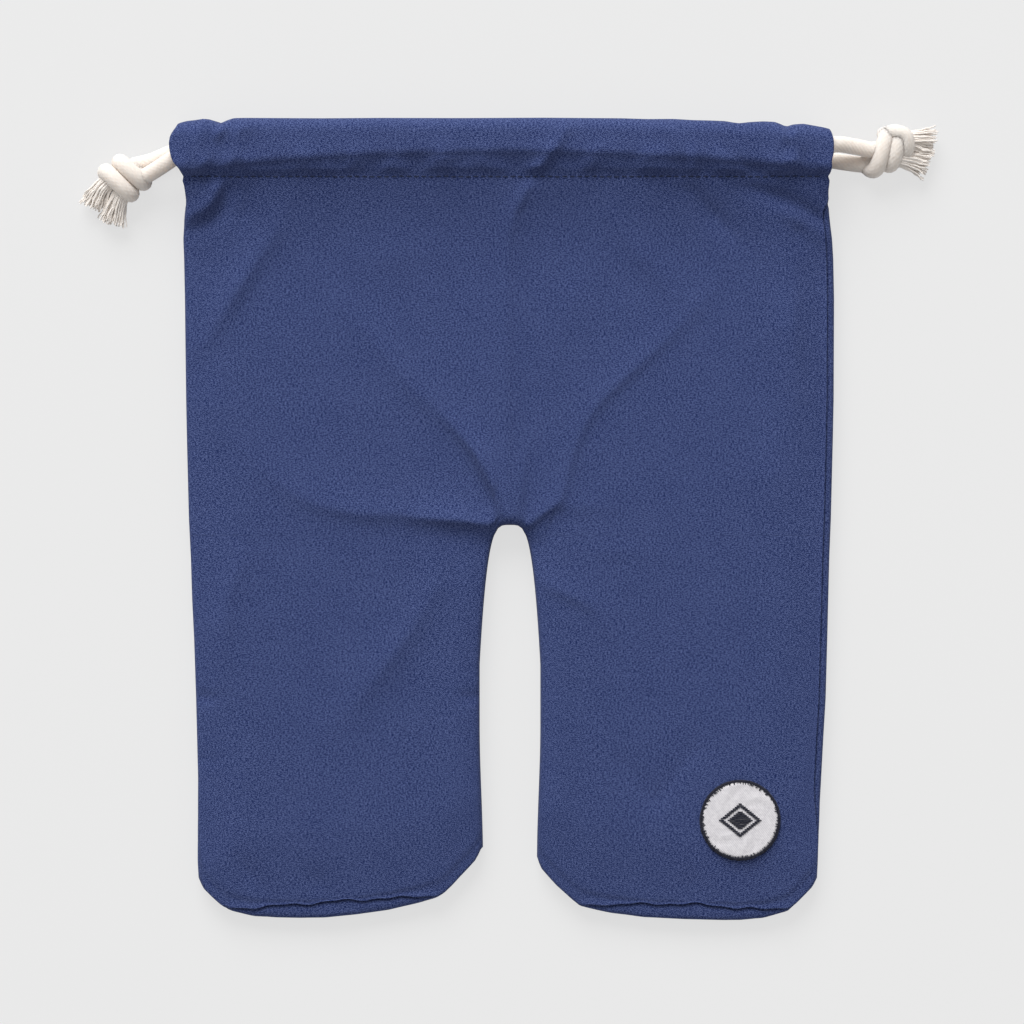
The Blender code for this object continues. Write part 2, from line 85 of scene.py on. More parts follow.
def crease(offset, width, rounding):  # falls off straight from a line that is rounded this much
    return np.exp((rounding - np.hypot(offset, rounding)) / width)


# Node trees: a value is a number, or the socket of another node


def addNode(tree, kind, inputs=(), **settings):
    node = tree.nodes.new(kind)
    for name, value in settings.items():
        setattr(node, name, value)
    for name, value in dict(inputs).items():
        socket = node.inputs[name]
        if isinstance(value, bpy.types.NodeSocket):
            tree.links.new(value, socket)
        else:
            socket.default_value = value
    return node


def calc(tree, operation, *values):
    node = addNode(tree, "ShaderNodeMath", enumerate(values), operation=operation)
    return node.outputs[0]


def newMaterial(name, roughness, sheen=0.0):
    material = bpy.data.materials.new(name)
    material.use_nodes = True
    tree = material.node_tree
    shader = tree.nodes["Principled BSDF"]
    shader.inputs["Roughness"].default_value = roughness
    shader.inputs["Specular IOR Level"].default_value = 0.25
    shader.inputs["Sheen Weight"].default_value = sheen
    shader.inputs["Sheen Roughness"].default_value = 0.5
    return material, tree, shader


def colourRamp(tree, factor, dark, light):
    node = addNode(tree, "ShaderNodeMix", data_type="RGBA")
    tree.links.new(factor, node.inputs["Factor"])
    node.inputs["A"].default_value = (*dark, 1)
    node.inputs["B"].default_value = (*light, 1)
    return node.outputs["Result"]


def uvParts(tree):
    place = addNode(tree, "ShaderNodeUVMap", uv_map="clothMap")
    split = addNode(tree, "ShaderNodeSeparateXYZ", {0: place.outputs[0]})
    return place.outputs[0], split.outputs[0], split.outputs[1]


def noiseOf(tree, place, scale, detail=2.0, stretch=(1, 1, 1)):
    mapped = addNode(tree, "ShaderNodeMapping", {"Vector": place, "Scale": stretch})
    inputs = {"Vector": mapped.outputs[0], "Scale": scale, "Detail": detail}
    return addNode(tree, "ShaderNodeTexNoise", inputs).outputs["Fac"]


canvas = dict(
    dark=(0.0045, 0.0155, 0.0900),
    light=(0.0900, 0.1230, 0.2860),
    pitch=0.55 * mm,  # from one yarn to the next
    relief=0.12 * mm,
    roughness=0.92,
    level=-2.11,
    shares=(0.36, 1.70, 0.80, 2.45, 0.20),  # of weave, flecks, thick warp and weft yarns, and mottling
)


def plainWeave(tree, u, v, pitch):  # yarns pass over and under each other like a chessboard
    warp = calc(tree, "SINE", calc(tree, "MULTIPLY", u, math.pi / pitch))
    weft = calc(tree, "SINE", calc(tree, "MULTIPLY", v, math.pi / pitch))
    return calc(tree, "MULTIPLY", warp, weft)


def makeCanvas():
    material, tree, shader = newMaterial("navyCanvas", canvas["roughness"], 0.05)
    place, u, v = uvParts(tree)
    wanderU = noiseOf(tree, place, 520, 1, (0.3, 1, 1))
    wanderV = noiseOf(tree, place, 560, 1, (1, 0.3, 1))
    shiftedU = calc(tree, "MULTIPLY_ADD", wanderU, 1.8 * mm, u)
    shiftedV = calc(tree, "MULTIPLY_ADD", wanderV, 1.8 * mm, v)
    weave = plainWeave(tree, shiftedU, shiftedV, canvas["pitch"])
    fleck = noiseOf(tree, place, 2100, 0)
    warpSlub = noiseOf(tree, place, 1700, 0, (1, 0.25, 1))
    weftSlub = noiseOf(tree, place, 2400, 0, (0.42, 1, 1))
    mottle = noiseOf(tree, place, 60, 2)
    tone = canvas["level"]
    for part, share in zip((weave, fleck, warpSlub, weftSlub, mottle), canvas["shares"]):
        tone = calc(tree, "MULTIPLY_ADD", part, share, tone)
    colour = colourRamp(tree, tone, canvas["dark"], canvas["light"])
    tree.links.new(colour, shader.inputs["Base Color"])
    bump = addNode(tree, "ShaderNodeBump", {"Height": tone, "Distance": canvas["relief"], "Strength": 0.6})
    tree.links.new(bump.outputs[0], shader.inputs["Normal"])
    return material


cotton = dict(dark=(0.76, 0.67, 0.595), light=(0.90, 0.825, 0.76), roughness=0.9, depth=4.0 * mm, soft=0.7)


def makeCotton(name, lineScale):  # the fine fibres run along the piece's own V direction
    material, tree, shader = newMaterial(name, cotton["roughness"])
    shader.inputs["Subsurface Weight"].default_value = cotton["soft"]  # light spreads inside the cord
    shader.inputs["Subsurface Radius"].default_value = (1.0, 1.0, 1.0)
    shader.inputs["Subsurface Scale"].default_value = cotton["depth"]
    place, u, v = uvParts(tree)
    fibre = noiseOf(tree, place, lineScale, 3, (1, 0.2, 1))
    patch = noiseOf(tree, place, 260, 2)
    tone = calc(tree, "MULTIPLY_ADD", fibre, 0.9, 0.12)
    tone = calc(tree, "MULTIPLY_ADD", patch, 0.4, tone)
    colour = colourRamp(tree, tone, cotton["dark"], cotton["light"])
    tree.links.new(colour, shader.inputs["Base Color"])
    bump = addNode(tree, "ShaderNodeBump", {"Height": fibre, "Distance": 0.12 * mm, "Strength": 0.7})
    tree.links.new(bump.outputs[0], shader.inputs["Normal"])
    return material


def makeThread(name, dark, light):
    material, tree, shader = newMaterial(name, 0.7, 0.1)
    place = addNode(tree, "ShaderNodeTexCoord").outputs["Object"]
    tone = noiseOf(tree, place, 1500, 2)
    tree.links.new(colourRamp(tree, tone, dark, light), shader.inputs["Base Color"])
    bump = addNode(tree, "ShaderNodeBump", {"Height": tone, "Distance": 0.05 * mm, "Strength": 0.6})
    tree.links.new(bump.outputs[0], shader.inputs["Normal"])
    return material


def makeTwill():  # white, with fine slanting ribs
    material, tree, shader = newMaterial("whiteTwill", 0.85, 0.1)
    place = addNode(tree, "ShaderNodeTexCoord").outputs["Object"]
    split = addNode(tree, "ShaderNodeSeparateXYZ", {0: place})
    slant = calc(tree, "MULTIPLY_ADD", split.outputs[1], 0.8, split.outputs[0])
    rib = calc(tree, "SINE", calc(tree, "MULTIPLY", slant, 2 * math.pi / (1.1 * mm)))
    cross = calc(tree, "SINE", calc(tree, "MULTIPLY", split.outputs[1], 2 * math.pi / (0.7 * mm)))
    rib = calc(tree, "MULTIPLY_ADD", cross, 0.4, rib)
    grain = noiseOf(tree, place, 700, 3)
    tone = calc(tree, "MULTIPLY_ADD", rib, 0.22, 0.1)
    tone = calc(tree, "ADD", tone, grain)
    colour = colourRamp(tree, tone, (0.55, 0.53, 0.57), (0.86, 0.84, 0.86))
    tree.links.new(colour, shader.inputs["Base Color"])
    bump = addNode(tree, "ShaderNodeBump", {"Height": tone, "Distance": 0.12 * mm, "Strength": 0.7})
    tree.links.new(bump.outputs[0], shader.inputs["Normal"])
    return material


table = dict(size=6.0, colour=0.83, plain=0.83, plainShare=0.80)  # only part of its look comes from the light
light = dict(
    sky=0.40,
    lamp=dict(toward=(-0.25, 1.0, 0.72), away=6.0, width=4.4, power=388.0),
)


def makeTable():  # seen by the camera it is plain and pale with the bag's shadow fainter than it falls
    material, tree, shader = newMaterial("paleTable", 0.95)
    shader.inputs["Base Color"].default_value = (table["colour"],) * 3 + (1,)
    shader.inputs["Specular IOR Level"].default_value = 0.1
    plain = addNode(tree, "ShaderNodeEmission", {"Color": (1, 1, 1, 1), "Strength": table["plain"]})
    seen = addNode(tree, "ShaderNodeLightPath").outputs["Is Camera Ray"]
    share = calc(tree, "MULTIPLY", seen, table["plainShare"])
    both = addNode(tree, "ShaderNodeMixShader", {0: share, 1: shader.outputs[0], 2: plain.outputs[0]})
    tree.links.new(both.outputs[0], tree.nodes["Material Output"].inputs["Surface"])
    return material


def makeStage():
    data = bpy.data.meshes.new("tableTop")
    bm = bmesh.new()
    bmesh.ops.create_grid(bm, x_segments=1, y_segments=1, size=table["size"] / 2)
    bm.to_mesh(data)
    bm.free()
    top = bpy.data.objects.new("tableTop", data)
    top.location.z = -0.15 * mm
    bpy.context.scene.collection.objects.link(top)
    data.materials.append(makeTable())

    world = bpy.data.worlds.new("softRoom")
    world.use_nodes = True
    world.node_tree.nodes["Background"].inputs["Color"].default_value = (1, 1, 1, 1)
    world.node_tree.nodes["Background"].inputs["Strength"].default_value = light["sky"]
    bpy.context.scene.world = world

    soft = light["lamp"]
    lamp = bpy.data.lights.new("softLamp", "AREA")
    lamp.shape = "DISK"
    lamp.size = soft["width"]
    lamp.energy = soft["power"]
    holder = bpy.data.objects.new("softLamp", lamp)
    holder.location = Vector(soft["toward"]).normalized() * soft["away"]
    holder.rotation_euler = Vector(soft["toward"]).to_track_quat("Z", "Y").to_euler()
    bpy.context.scene.collection.objects.link(holder)


makeStage()
print("camera, table and light are set")


# Meshes


def newPiece(name, data, material):
    piece = bpy.data.objects.new(name, data)
    bpy.context.scene.collection.objects.link(piece)
    if material:
        data.materials.append(material)
    return piece


def meshOf(name, points, faces, uvs=None):  # uvs holds one place in metres for each corner of each face
    data = bpy.data.meshes.new(name)
    data.from_pydata([tuple(p) for p in points], [], [tuple(f) for f in faces])
    if uvs is not None:
        layer = data.uv_layers.new(name="clothMap")
        layer.data.foreach_set("uv", np.asarray(uvs, np.float32).ravel())
    data.shade_smooth()
    return data


def smoothRoute(points, spacing):  # points at about this spacing on a smooth curve through the given ones
    points = [np.array(p, float) for p in points]
    ends = [2 * points[0] - points[1], *points, 2 * points[-1] - points[-2]]
    path = []
    for a, b, c, d in zip(ends, ends[1:], ends[2:], ends[3:]):
        count = max(1, round(float(np.linalg.norm(c - b)) / spacing))
        for k in range(count):
            t = k / count
            bend = (c - a) * t + (2 * a - 5 * b + 4 * c - d) * t**2 + (3 * b - a - 3 * c + d) * t**3
            path.append(b + bend / 2)
    return np.array(path + [points[-1]])


def alongOf(points):
    return np.concatenate([[0.0], np.cumsum(np.linalg.norm(np.diff(points, axis=0), axis=1))])


braid = dict(strands=6, pick=2.3 * mm, relief=0.32 * mm, sides=60)


def sweptTube(points, radii, sides, relief=0.0, fineness=None):  # closed tube, braided where it has relief
    tangents = np.gradient(points, axis=0)
    tangents /= np.linalg.norm(tangents, axis=1)[:, None]
    side = np.cross(tangents[0], (0.0, 0.0, 1.0))
    if np.linalg.norm(side) < 0.1:
        side = np.cross(tangents[0], (0.0, 1.0, 0.0))
    along = alongOf(points)
    around = np.linspace(0, 2 * math.pi, sides, endpoint=False)
    rings = []
    for k, (point, tangent) in enumerate(zip(points, tangents)):
        side = side - tangent * (side @ tangent)
        side /= np.linalg.norm(side)
        up = np.cross(tangent, side)
        radius = np.full(sides, radii[k])
        if relief:
            first = braid["strands"] * around + along[k] * math.pi / braid["pick"]
            second = braid["strands"] * around - along[k] * math.pi / braid["pick"]
            raised = np.sqrt(np.abs(np.sin(first) * np.sin(second))) - 0.6
            radius += relief * raised * (1.0 if fineness is None else fineness[k])
        outward = np.cos(around)[:, None] * side + np.sin(around)[:, None] * up
        rings.append(point + radius[:, None] * outward)
    verts = np.concatenate(rings + [points[:1], points[-1:]])
    first, last = len(verts) - 2, len(verts) - 1
    faces, uvs = [], []
    turn = 2 * math.pi * float(np.mean(radii)) / sides
    for k in range(len(points) - 1):
        for j in range(sides):
            nextJ = (j + 1) % sides
            a, b = k * sides, (k + 1) * sides
            faces.append((a + j, a + nextJ, b + nextJ, b + j))
            u0, u1, v0, v1 = j * turn, (j + 1) * turn, along[k], along[k + 1]
            uvs += [(u0, v0), (u1, v0), (u1, v1), (u0, v1)]
    end = (len(points) - 1) * sides
    for j in range(sides):
        nextJ = (j + 1) % sides
        faces.append((first, nextJ, j))
        faces.append((last, end + j, end + nextJ))
        uvs += [(0, 0), ((j + 1) * turn, 0), (j * turn, 0)]
        uvs += [(0, along[-1]), (j * turn, along[-1]), ((j + 1) * turn, along[-1])]
    return verts, faces, uvs


def joinParts(parts):
    points, faces, uvs = [], [], []
    start = 0
    for somePoints, someFaces, someUvs in parts:
        points.append(somePoints)
        faces += [tuple(start + i for i in face) for face in someFaces]
        uvs += someUvs
        start += len(somePoints)
    return np.concatenate(points), faces, uvs


# The bag's outline and levels, as in the model

bag = dict(
    cloth=0.8 * mm,
    seamGap=0.3 * mm,
    allowance=6.0 * mm,
    clipped=1.5 * mm,
    cornerBend=math.radians(20),
    height=400.5 * mm,
    legShift=3.75 * mm,
    ankleHalf=155.0 * mm,
    gapInAboveSole=(90 * mm, 22 * mm),
    rise=203.5 * mm,
    legGapHalf=15.2 * mm,
    legGapRun=70 * mm,
    ankleGapHalf=13.5 * mm,
    archHalf=8.0 * mm,
    outerCut=12.0 * mm,
    innerCut=22.0 * mm,
    soleSag=7.0 * mm,
    bodyHeight=13.5 * mm,
    sideLevel=6.0 * mm,
    sideRoll=8.0 * mm,
    soleRoll=10.0 * mm,
    sideSeamTurn=math.radians(56),
    soleSeamTurn=math.radians(77),
    crotchDip=1.6 * mm,
    crotchDipReach=18 * mm,
)
casing = dict(
    width=331.5 * mm,
    depth=29.7 * mm,
    hemReturn=3.0 * mm,
    mouthGap=5.6 * mm,
    trackSpacing=9.0 * mm,
    trackBow=8.0 * mm,
    topClearance=1.0 * mm,
    noseDepth=7.0 * mm,
    slitInset=16.0 * mm,
    slitHeight=15.0 * mm,
    turnInset=17.0 * mm,
    slack=0.5 * mm,  # between the cloth and the cords it runs over
    stitchRaise=3.0 * mm,
    sag=0.9 * mm,
    apart=0.25 * mm,
    riseRun=56 * mm,  # the body starts to rise to the casing this far below its stitching
    hemDrop=1.8 * mm,  # the front hem's end lies this much lower, clear of the sloping cloth above it
)
outline = dict(  # places along an edge and where it lies there, in mm: the sides by height, the rest by width
    left=(
        (-200, -151.0), (-172, -152.8), (-130, -152.6), (-90, -153.6), (-60, -154.6), (-40, -155.6),
        (-20, -156.2), (0, -157.2), (40, -158.2), (60, -158.6), (110, -159.2), (130, -159.6), (140, -160.0),
        (150, -159.4), (156, -158.8), (161, -158.2), (166, -158.8), (170.5, -160.2),
    ),
    right=(
        (-200, 156.6), (-172, 158.0), (-140, 159.2), (-110, 160.8), (-90, 162.0), (-60, 162.8), (-20, 163.8),
        (0, 164.6), (40, 165.6), (60, 166.0), (110, 166.2), (130, 165.8), (140, 165.2), (148, 164.2),
        (156, 163.4), (163, 162.6), (170.5, 163.4),
    ),
    leftSole=(
        (-152.4, -177.4), (-149.5, -185.2), (-145.4, -189.6), (-141.2, -193.6), (-137.2, -196.2),
        (-133.2, -197.4), (-125, -199.3), (-113, -200.0), (-101, -200.2), (-89, -200.0), (-73, -198.4),
        (-57, -196.2), (-41, -192.4), (-33, -190.0), (-29.2, -187.6), (-25.2, -183.8), (-21.2, -179.4),
        (-17.2, -175.2), (-13.2, -170.8), (-10.2, -164.4),
    ),
    rightSole=(
        (17.0, -168.4), (19.0, -174.8), (23.0, -179.4), (27.0, -183.8), (31.0, -187.4), (35.0, -191.0),
        (39.0, -194.2), (47.0, -196.2), (55.0, -197.8), (71.0, -199.8), (91.0, -200.8), (111.0, -201.3),
        (119.0, -201.3), (131.0, -200.2), (143.0, -196.8), (147.0, -193.0), (151.0, -188.8), (155.0, -184.4),
        (158.0, -177.4),
    ),
    top=(
        (-162.2, 196.4), (-161, 197.2), (-157, 198.2), (-153, 198.6), (-149, 199.3), (-145, 198.8),
        (-142.4, 197.4), (-140.9, 196.6), (-138.6, 198.0), (-134, 199.6), (-128, 199.7), (-90, 199.5),
        (-60, 199.7), (-20, 199.6), (20, 199.8), (60, 199.5), (72, 199.1), (85, 199.2), (95, 198.6),
        (104, 198.4), (111, 198.1), (115, 197.4), (118, 197.0), (123, 197.6), (130, 198.0), (136, 197.7),
        (139.4, 196.3), (141.6, 195.2), (144.4, 196.4), (150, 196.8), (155, 195.9), (160, 195.0),
        (163, 194.2),
    ),
    leftEnd=(
        (165, -158.2), (170.2, -158.9), (172.2, -160.0), (174.2, -161.1), (176.2, -163.0), (178.2, -164.4),
        (180.2, -165.0), (182.2, -165.4), (184.2, -165.9), (188.2, -165.9), (190.2, -165.4), (192.2, -164.4),
        (194.2, -163.0), (196.4, -161.8), (202, -160.4),
    ),
    rightEnd=(
        (165, 161.0), (168.2, 161.2), (170.2, 162.2), (172.2, 163.4), (174.2, 163.9), (178.2, 163.9),
        (180.2, 164.4), (182.2, 164.9), (188.2, 164.9), (190.2, 164.4), (192.2, 163.9), (194.4, 162.8),
        (202, 158.0),
    ),
)
cord = dict(diameter=8.0 * mm, clearance=0.6 * mm)

topY = bag["height"] / 2
stitchY = topY - casing["depth"]
slitY = stitchY - casing["slitHeight"]
crotchY = topY - bag["rise"]
legTopY = crotchY - bag["legGapRun"] * (bag["archHalf"] / bag["legGapHalf"]) ** 4
soleY = -topY + bag["soleSag"]
legWidth = bag["ankleHalf"] - bag["ankleGapHalf"]
casingHalf = casing["width"] / 2
casingHeight = 2 * bag["cloth"] + 2 * cord["clearance"] + cord["diameter"]
stitchedHeight = 2 * bag["cloth"] + bag["seamGap"]
frontHemZ = casingHeight + casing["mouthGap"]
backCordZ = bag["cloth"] + cord["clearance"] + cord["diameter"] / 2
frontCordZ = frontHemZ + backCordZ
sideGapTurn = bag["seamGap"] / (bag["sideRoll"] + bag["sideLevel"])
soleGapTurn = bag["seamGap"] / (bag["soleRoll"] + bag["sideLevel"])


def upperTrackY(x):
    middle = topY - bag["cloth"] - casing["topClearance"] - cord["diameter"] / 2
    return middle - casing["trackBow"] * (x / casingHalf) ** 2


def lowerTrackY(x):
    return upperTrackY(x) - casing["trackSpacing"]


# Cords: both ends of each one leave the casing on the same side and are tied in one knot

knots = dict(
    halfHeight=9.0 * mm,
    left=dict(
        at=(-188.5, 171.0),
        turn=218,
        side=-1,
        strands=(  # in the knot, then outside it: first the one to the front casing, then the one to the back
            (
                ((-1.5, 3.0, 0.5), (-4.5, 4.6, 2.2), (-8.6, 6.0, 3.4)),
                ((-172, 174.9, 15.4), (-165.4, 179.0, 18.6), (-157, 184.2, 21.2), (-147, 188.1, 21.8)),
            ),
            (
                ((-1.5, -2.0, -1.0), (-4.5, -1.8, -2.6), (-8.4, -1.4, -3.2)),
                ((-175.5, 179.2, 5.6), (-166.7, 183.0, 5.4), (-157, 186.6, 5.4), (-147, 188.1, 5.4)),
            ),
        ),
        wraps=(  # place on top, run in half a turn, half width, half height, first and last angle
            (-3.6, -3.2, 7.6, 4.8, -80, 262),
            (4.9, -3.2, 8.2, 4.8, -80, 262),
        ),
        loops=(),
        cores=(
            ((-9, -2, 0), (-2, -2, 0), (6, -3.5, -0.5), (11, -4.4, -1)),
            ((-9, 3, 0), (-2, 3, 0), (6, 4.2, -0.5), (10, 5.6, -1)),
        ),
        tufts=(
            ((6, 4.6, 0.6), (10.5, 6.8, -0.6), (15.5, 9.8, -2.2), (20.6, 13.4, -3.4)),
            ((6, -3.4, 0.6), (12, -3.0, -0.6), (17.5, -1.2, -2.2), (23.2, 1.6, -3.4)),
        ),
    ),
    right=dict(
        at=(193.0, 184.0),
        turn=8,
        side=1,
        strands=(
            (
                ((-1.5, 1.6, 0.5), (-4.5, 1.6, 2.0), (-8.4, 1.5, 3.0)),
                ((176, 185.8, 14.4), (166.4, 186.7, 18.4), (157, 183.4, 21.2), (147, 179.2, 21.8)),
            ),
            (
                ((-4.0, -2.4, -1.0), (-7.5, -3.6, -2.4), (-12.0, -5.0, -3.2)),
                ((172, 178.4, 5.6), (165, 179.4, 5.4), (157, 179.2, 5.4), (147, 179.2, 5.4)),
            ),
        ),
        wraps=(
            (-3.2, 10.5, 8.4, 4.8, -80, 262),
            (3.8, 8.0, 6.8, 4.0, -80, 262),
        ),
        loops=(
            (
                (-1, 8.6, -3.5), (1.5, 8.9, 1.5), (5.4, 8.6, 4.2), (9.2, 6.2, 4.4), (9.8, 1.8, 3.4),
                (8.2, -2.6, 0.6), (5, -5, -3),
            ),
        ),
        cores=(
            ((-9, 2, 0), (-2, 2, 0), (6, 3.0, -0.5), (11, 3.0, -1)),
            ((-9, -3, 0), (-2, -2, 0), (5, -4.4, -0.5), (8, -5.6, -1)),
        ),
        tufts=(
            ((7, 3.0, 0.6), (13, 3.2, -0.6), (18.5, 2.2, -2.0), (24.2, 0.8, -3.0)),
            ((5, -4.6, 0.6), (10, -6.2, -0.8), (14.5, -7.8, -2.2), (19.4, -9.8, -3.4)),
        ),
    ),
)
lie = dict(hidden=3 * mm, seen=0.45 * mm, seenLength=52 * mm)  # spacing of a cord's rings


def knotFrame(knot):
    place = Matrix.Translation((knot["at"][0] * mm, knot["at"][1] * mm, knots["halfHeight"]))
    return place @ Matrix.Rotation(math.radians(knot["turn"]), 4, "Z")


def drawstringPoints(side, trackY):  # through the front casing, round its far end and back through the other
    far = casingHalf - casing["turnInset"]
    radius = (frontCordZ - backCordZ) / 2
    middle = (frontCordZ + backCordZ) / 2
    stations = [side * x for x in np.arange(124 * mm, 6 * mm - far, -8 * mm)]
    front = [(x, trackY(x), frontCordZ) for x in stations]
    turn = []
    for degrees in range(0, 181, 30):
        angle = math.radians(degrees)
        out, up = radius * math.sin(angle), radius * math.cos(angle)
        turn.append((-side * (far + out), trackY(far), middle + up))
    back = [(x, trackY(x), backCordZ) for x in reversed(stations)]
    return front + turn + back


def drawstringRoute(knot, trackY):
    place = knotFrame(knot)
    routes = []
    for near, far in knot["strands"]:
        routes.append([place @ (Vector(p) * mm) for p in near] + [Vector(p) * mm for p in far])
    return routes[0] + drawstringPoints(knot["side"], trackY) + routes[1][::-1]


def makeDrawstring(name, knot, trackY, material):  # its braid is modelled where it shows, at both ends
    route = smoothRoute(drawstringRoute(knot, trackY), 0.4 * mm)
    along = alongOf(route)
    seen = lie["seenLength"]
    ends = np.arange(0, seen, lie["seen"])
    inner = np.linspace(seen, along[-1] - seen, round(float(along[-1] - 2 * seen) / lie["hidden"]) + 1)
    at = np.concatenate([ends, inner, along[-1] - ends[::-1]])
    points = np.stack([np.interp(at, along, route[:, k]) for k in range(3)], axis=1)
    fineness = smooth(np.maximum(seen - at, seen - (along[-1] - at)), 0, 5 * mm)
    radii = np.full(len(points), cord["diameter"] / 2)
    parts = sweptTube(points, radii, braid["sides"], braid["relief"], fineness)
    piece = newPiece(name, meshOf(name, *parts), material)
    return piece, points, float(along[-1])


def makeKnot(name, knot, material):  # two wraps side by side round the strands that pass through
    place = knotFrame(knot)
    parts = []
    radius = cord["diameter"] / 2
    for top, run, halfWidth, halfHeight, start, end in knot["wraps"]:
        angles = np.radians(np.arange(start, end + 1, 3.0))
        points = np.stack(
            [
                top + run * (0.5 - angles / math.pi),
                halfWidth * np.cos(angles),
                halfHeight * np.sin(angles),
            ],
            axis=1,
        )
        parts.append((points * mm, radius * 1.04))
    for loop in knot["loops"]:
        parts.append((smoothRoute([np.array(p) * mm for p in loop], 0.5 * mm), radius * 0.92))
    for core in knot["cores"]:
        parts.append((smoothRoute([np.array(p) * mm for p in core], 0.5 * mm), radius * 0.92))
    tubes = []
    for points, size in parts:
        points = np.array([place @ Vector(p) for p in points])
        radii = np.full(len(points), size)
        tubes.append(sweptTube(points, radii, braid["sides"], braid["relief"]))
    return newPiece(name, meshOf(name, *joinParts(tubes)), material)


# Threads and yarns: a tree turns lines into round threads


def threadTree():  # each line becomes a thread that arches along the attribute lift and wanders a little
    tree = bpy.data.node_groups.new("threads", "GeometryNodeTree")
    face = tree.interface
    face.new_socket("Lines", in_out="INPUT", socket_type="NodeSocketGeometry")
    sizes = {"Thread Radius": 0.2 * mm, "Arch": 0.0, "Waviness": 0.0, "Wave Scale": 300.0, "Tip": 1.0}
    counts = {"Points": 6, "Seed": 1}
    for kind, values in (("NodeSocketFloat", sizes), ("NodeSocketInt", counts)):
        for name, start in values.items():
            face.new_socket(name, in_out="INPUT", socket_type=kind).default_value = start
    face.new_socket("Material", in_out="INPUT", socket_type="NodeSocketMaterial")
    face.new_socket("Threads", in_out="OUTPUT", socket_type="NodeSocketGeometry")
    given = tree.nodes.new("NodeGroupInput").outputs
    lines = addNode(tree, "GeometryNodeMeshToCurve", {"Mesh": given["Lines"]}).outputs["Curve"]
    inputs = {"Curve": lines, "Count": given["Points"]}
    resampled = addNode(tree, "GeometryNodeResampleCurve", inputs).outputs[0]
    factor = addNode(tree, "GeometryNodeSplineParameter").outputs["Factor"]
    other = calc(tree, "SUBTRACT", 1.0, factor)
    rise = calc(tree, "MULTIPLY", calc(tree, "MULTIPLY", factor, other), 4.0)
    rise = calc(tree, "MULTIPLY", rise, given["Arch"])
    lift = addNode(tree, "GeometryNodeInputNamedAttribute", {"Name": "lift"}, data_type="FLOAT_VECTOR")
    arched = addNode(tree, "ShaderNodeVectorMath", {0: lift.outputs[0]}, operation="SCALE")
    tree.links.new(rise, arched.inputs["Scale"])
    inputs = {"Scale": given["Wave Scale"], "W": given["Seed"], "Detail": 1.0}
    wave = addNode(tree, "ShaderNodeTexNoise", inputs, noise_dimensions="4D")
    position = addNode(tree, "GeometryNodeInputPosition").outputs[0]
    tree.links.new(position, wave.inputs["Vector"])
    inputs = {0: wave.outputs["Color"], 1: (0.5, 0.5, 0.5)}
    middle = addNode(tree, "ShaderNodeVectorMath", inputs, operation="SUBTRACT")
    wavy = addNode(tree, "ShaderNodeVectorMath", {0: middle.outputs[0]}, operation="SCALE")
    tree.links.new(calc(tree, "MULTIPLY", given["Waviness"], factor), wavy.inputs["Scale"])
    inputs = {0: arched.outputs[0], 1: wavy.outputs[0]}
    offset = addNode(tree, "ShaderNodeVectorMath", inputs, operation="ADD").outputs[0]
    moved = addNode(tree, "GeometryNodeSetPosition", {"Geometry": resampled, "Offset": offset}).outputs[0]
    thin = calc(tree, "MULTIPLY_ADD", factor, calc(tree, "SUBTRACT", given["Tip"], 1.0), 1.0)
    sized = addNode(tree, "GeometryNodeSetCurveRadius", {"Curve": moved, "Radius": thin}).outputs[0]
    inputs = {"Resolution": 6, "Radius": given["Thread Radius"]}
    profile = addNode(tree, "GeometryNodeCurvePrimitiveCircle", inputs).outputs[0]
    inputs = {"Curve": sized, "Profile Curve": profile, "Fill Caps": True, "Scale": thin}
    tube = addNode(tree, "GeometryNodeCurveToMesh", inputs).outputs[0]
    whole = addNode(tree, "GeometryNodeRealizeInstances", {"Geometry": tube}).outputs[0]
    rounded = addNode(tree, "GeometryNodeSetShadeSmooth", {"Geometry": whole}).outputs[0]
    inputs = {"Geometry": rounded, "Material": given["Material"]}
    dyed = addNode(tree, "GeometryNodeSetMaterial", inputs).outputs[0]
    out = tree.nodes.new("NodeGroupOutput")
    tree.links.new(dyed, out.inputs["Threads"])
    return tree


threads = threadTree()


def threadsFrom(name, lines, lifts, material, slot, **sizes):  # one lift for each line of points
    points, edges, lift = [], [], []
    for line, up in zip(lines, lifts):
        start = len(points)
        points += [tuple(p) for p in line]
        lift += [tuple(up)] * len(line)
        edges += [(start + k, start + k + 1) for k in range(len(line) - 1)]
    data = bpy.data.meshes.new(name + "Lines")
    data.from_pydata(points, edges, [])
    attribute = data.attributes.new("lift", "FLOAT_VECTOR", "POINT")
    attribute.data.foreach_set("vector", np.array(lift, np.float32).ravel())
    guide = bpy.data.objects.new(name + "Lines", data)
    bpy.context.scene.collection.objects.link(guide)
    maker = guide.modifiers.new("threads", "NODES")
    maker.node_group = threads
    sockets = {item.name: item.identifier for item in threads.interface.items_tree if item.in_out == "INPUT"}
    for label, value in {"Material": material, **sizes}.items():
        maker[sockets[label]] = value
    made = bpy.data.meshes.new_from_object(guide.evaluated_get(bpy.context.evaluated_depsgraph_get()))
    bpy.data.objects.remove(guide)
    made.name = name
    return newPiece(name, made, None)


fray = dict(
    yarns=100, base=3.9 * mm, spread=1.9, flat=0.8, yarn=0.54 * mm, curl=1.1 * mm, floor=0.6 * mm,
    turn=2.39996,  # golden angle, which spreads the yarns evenly over the cord's end
)


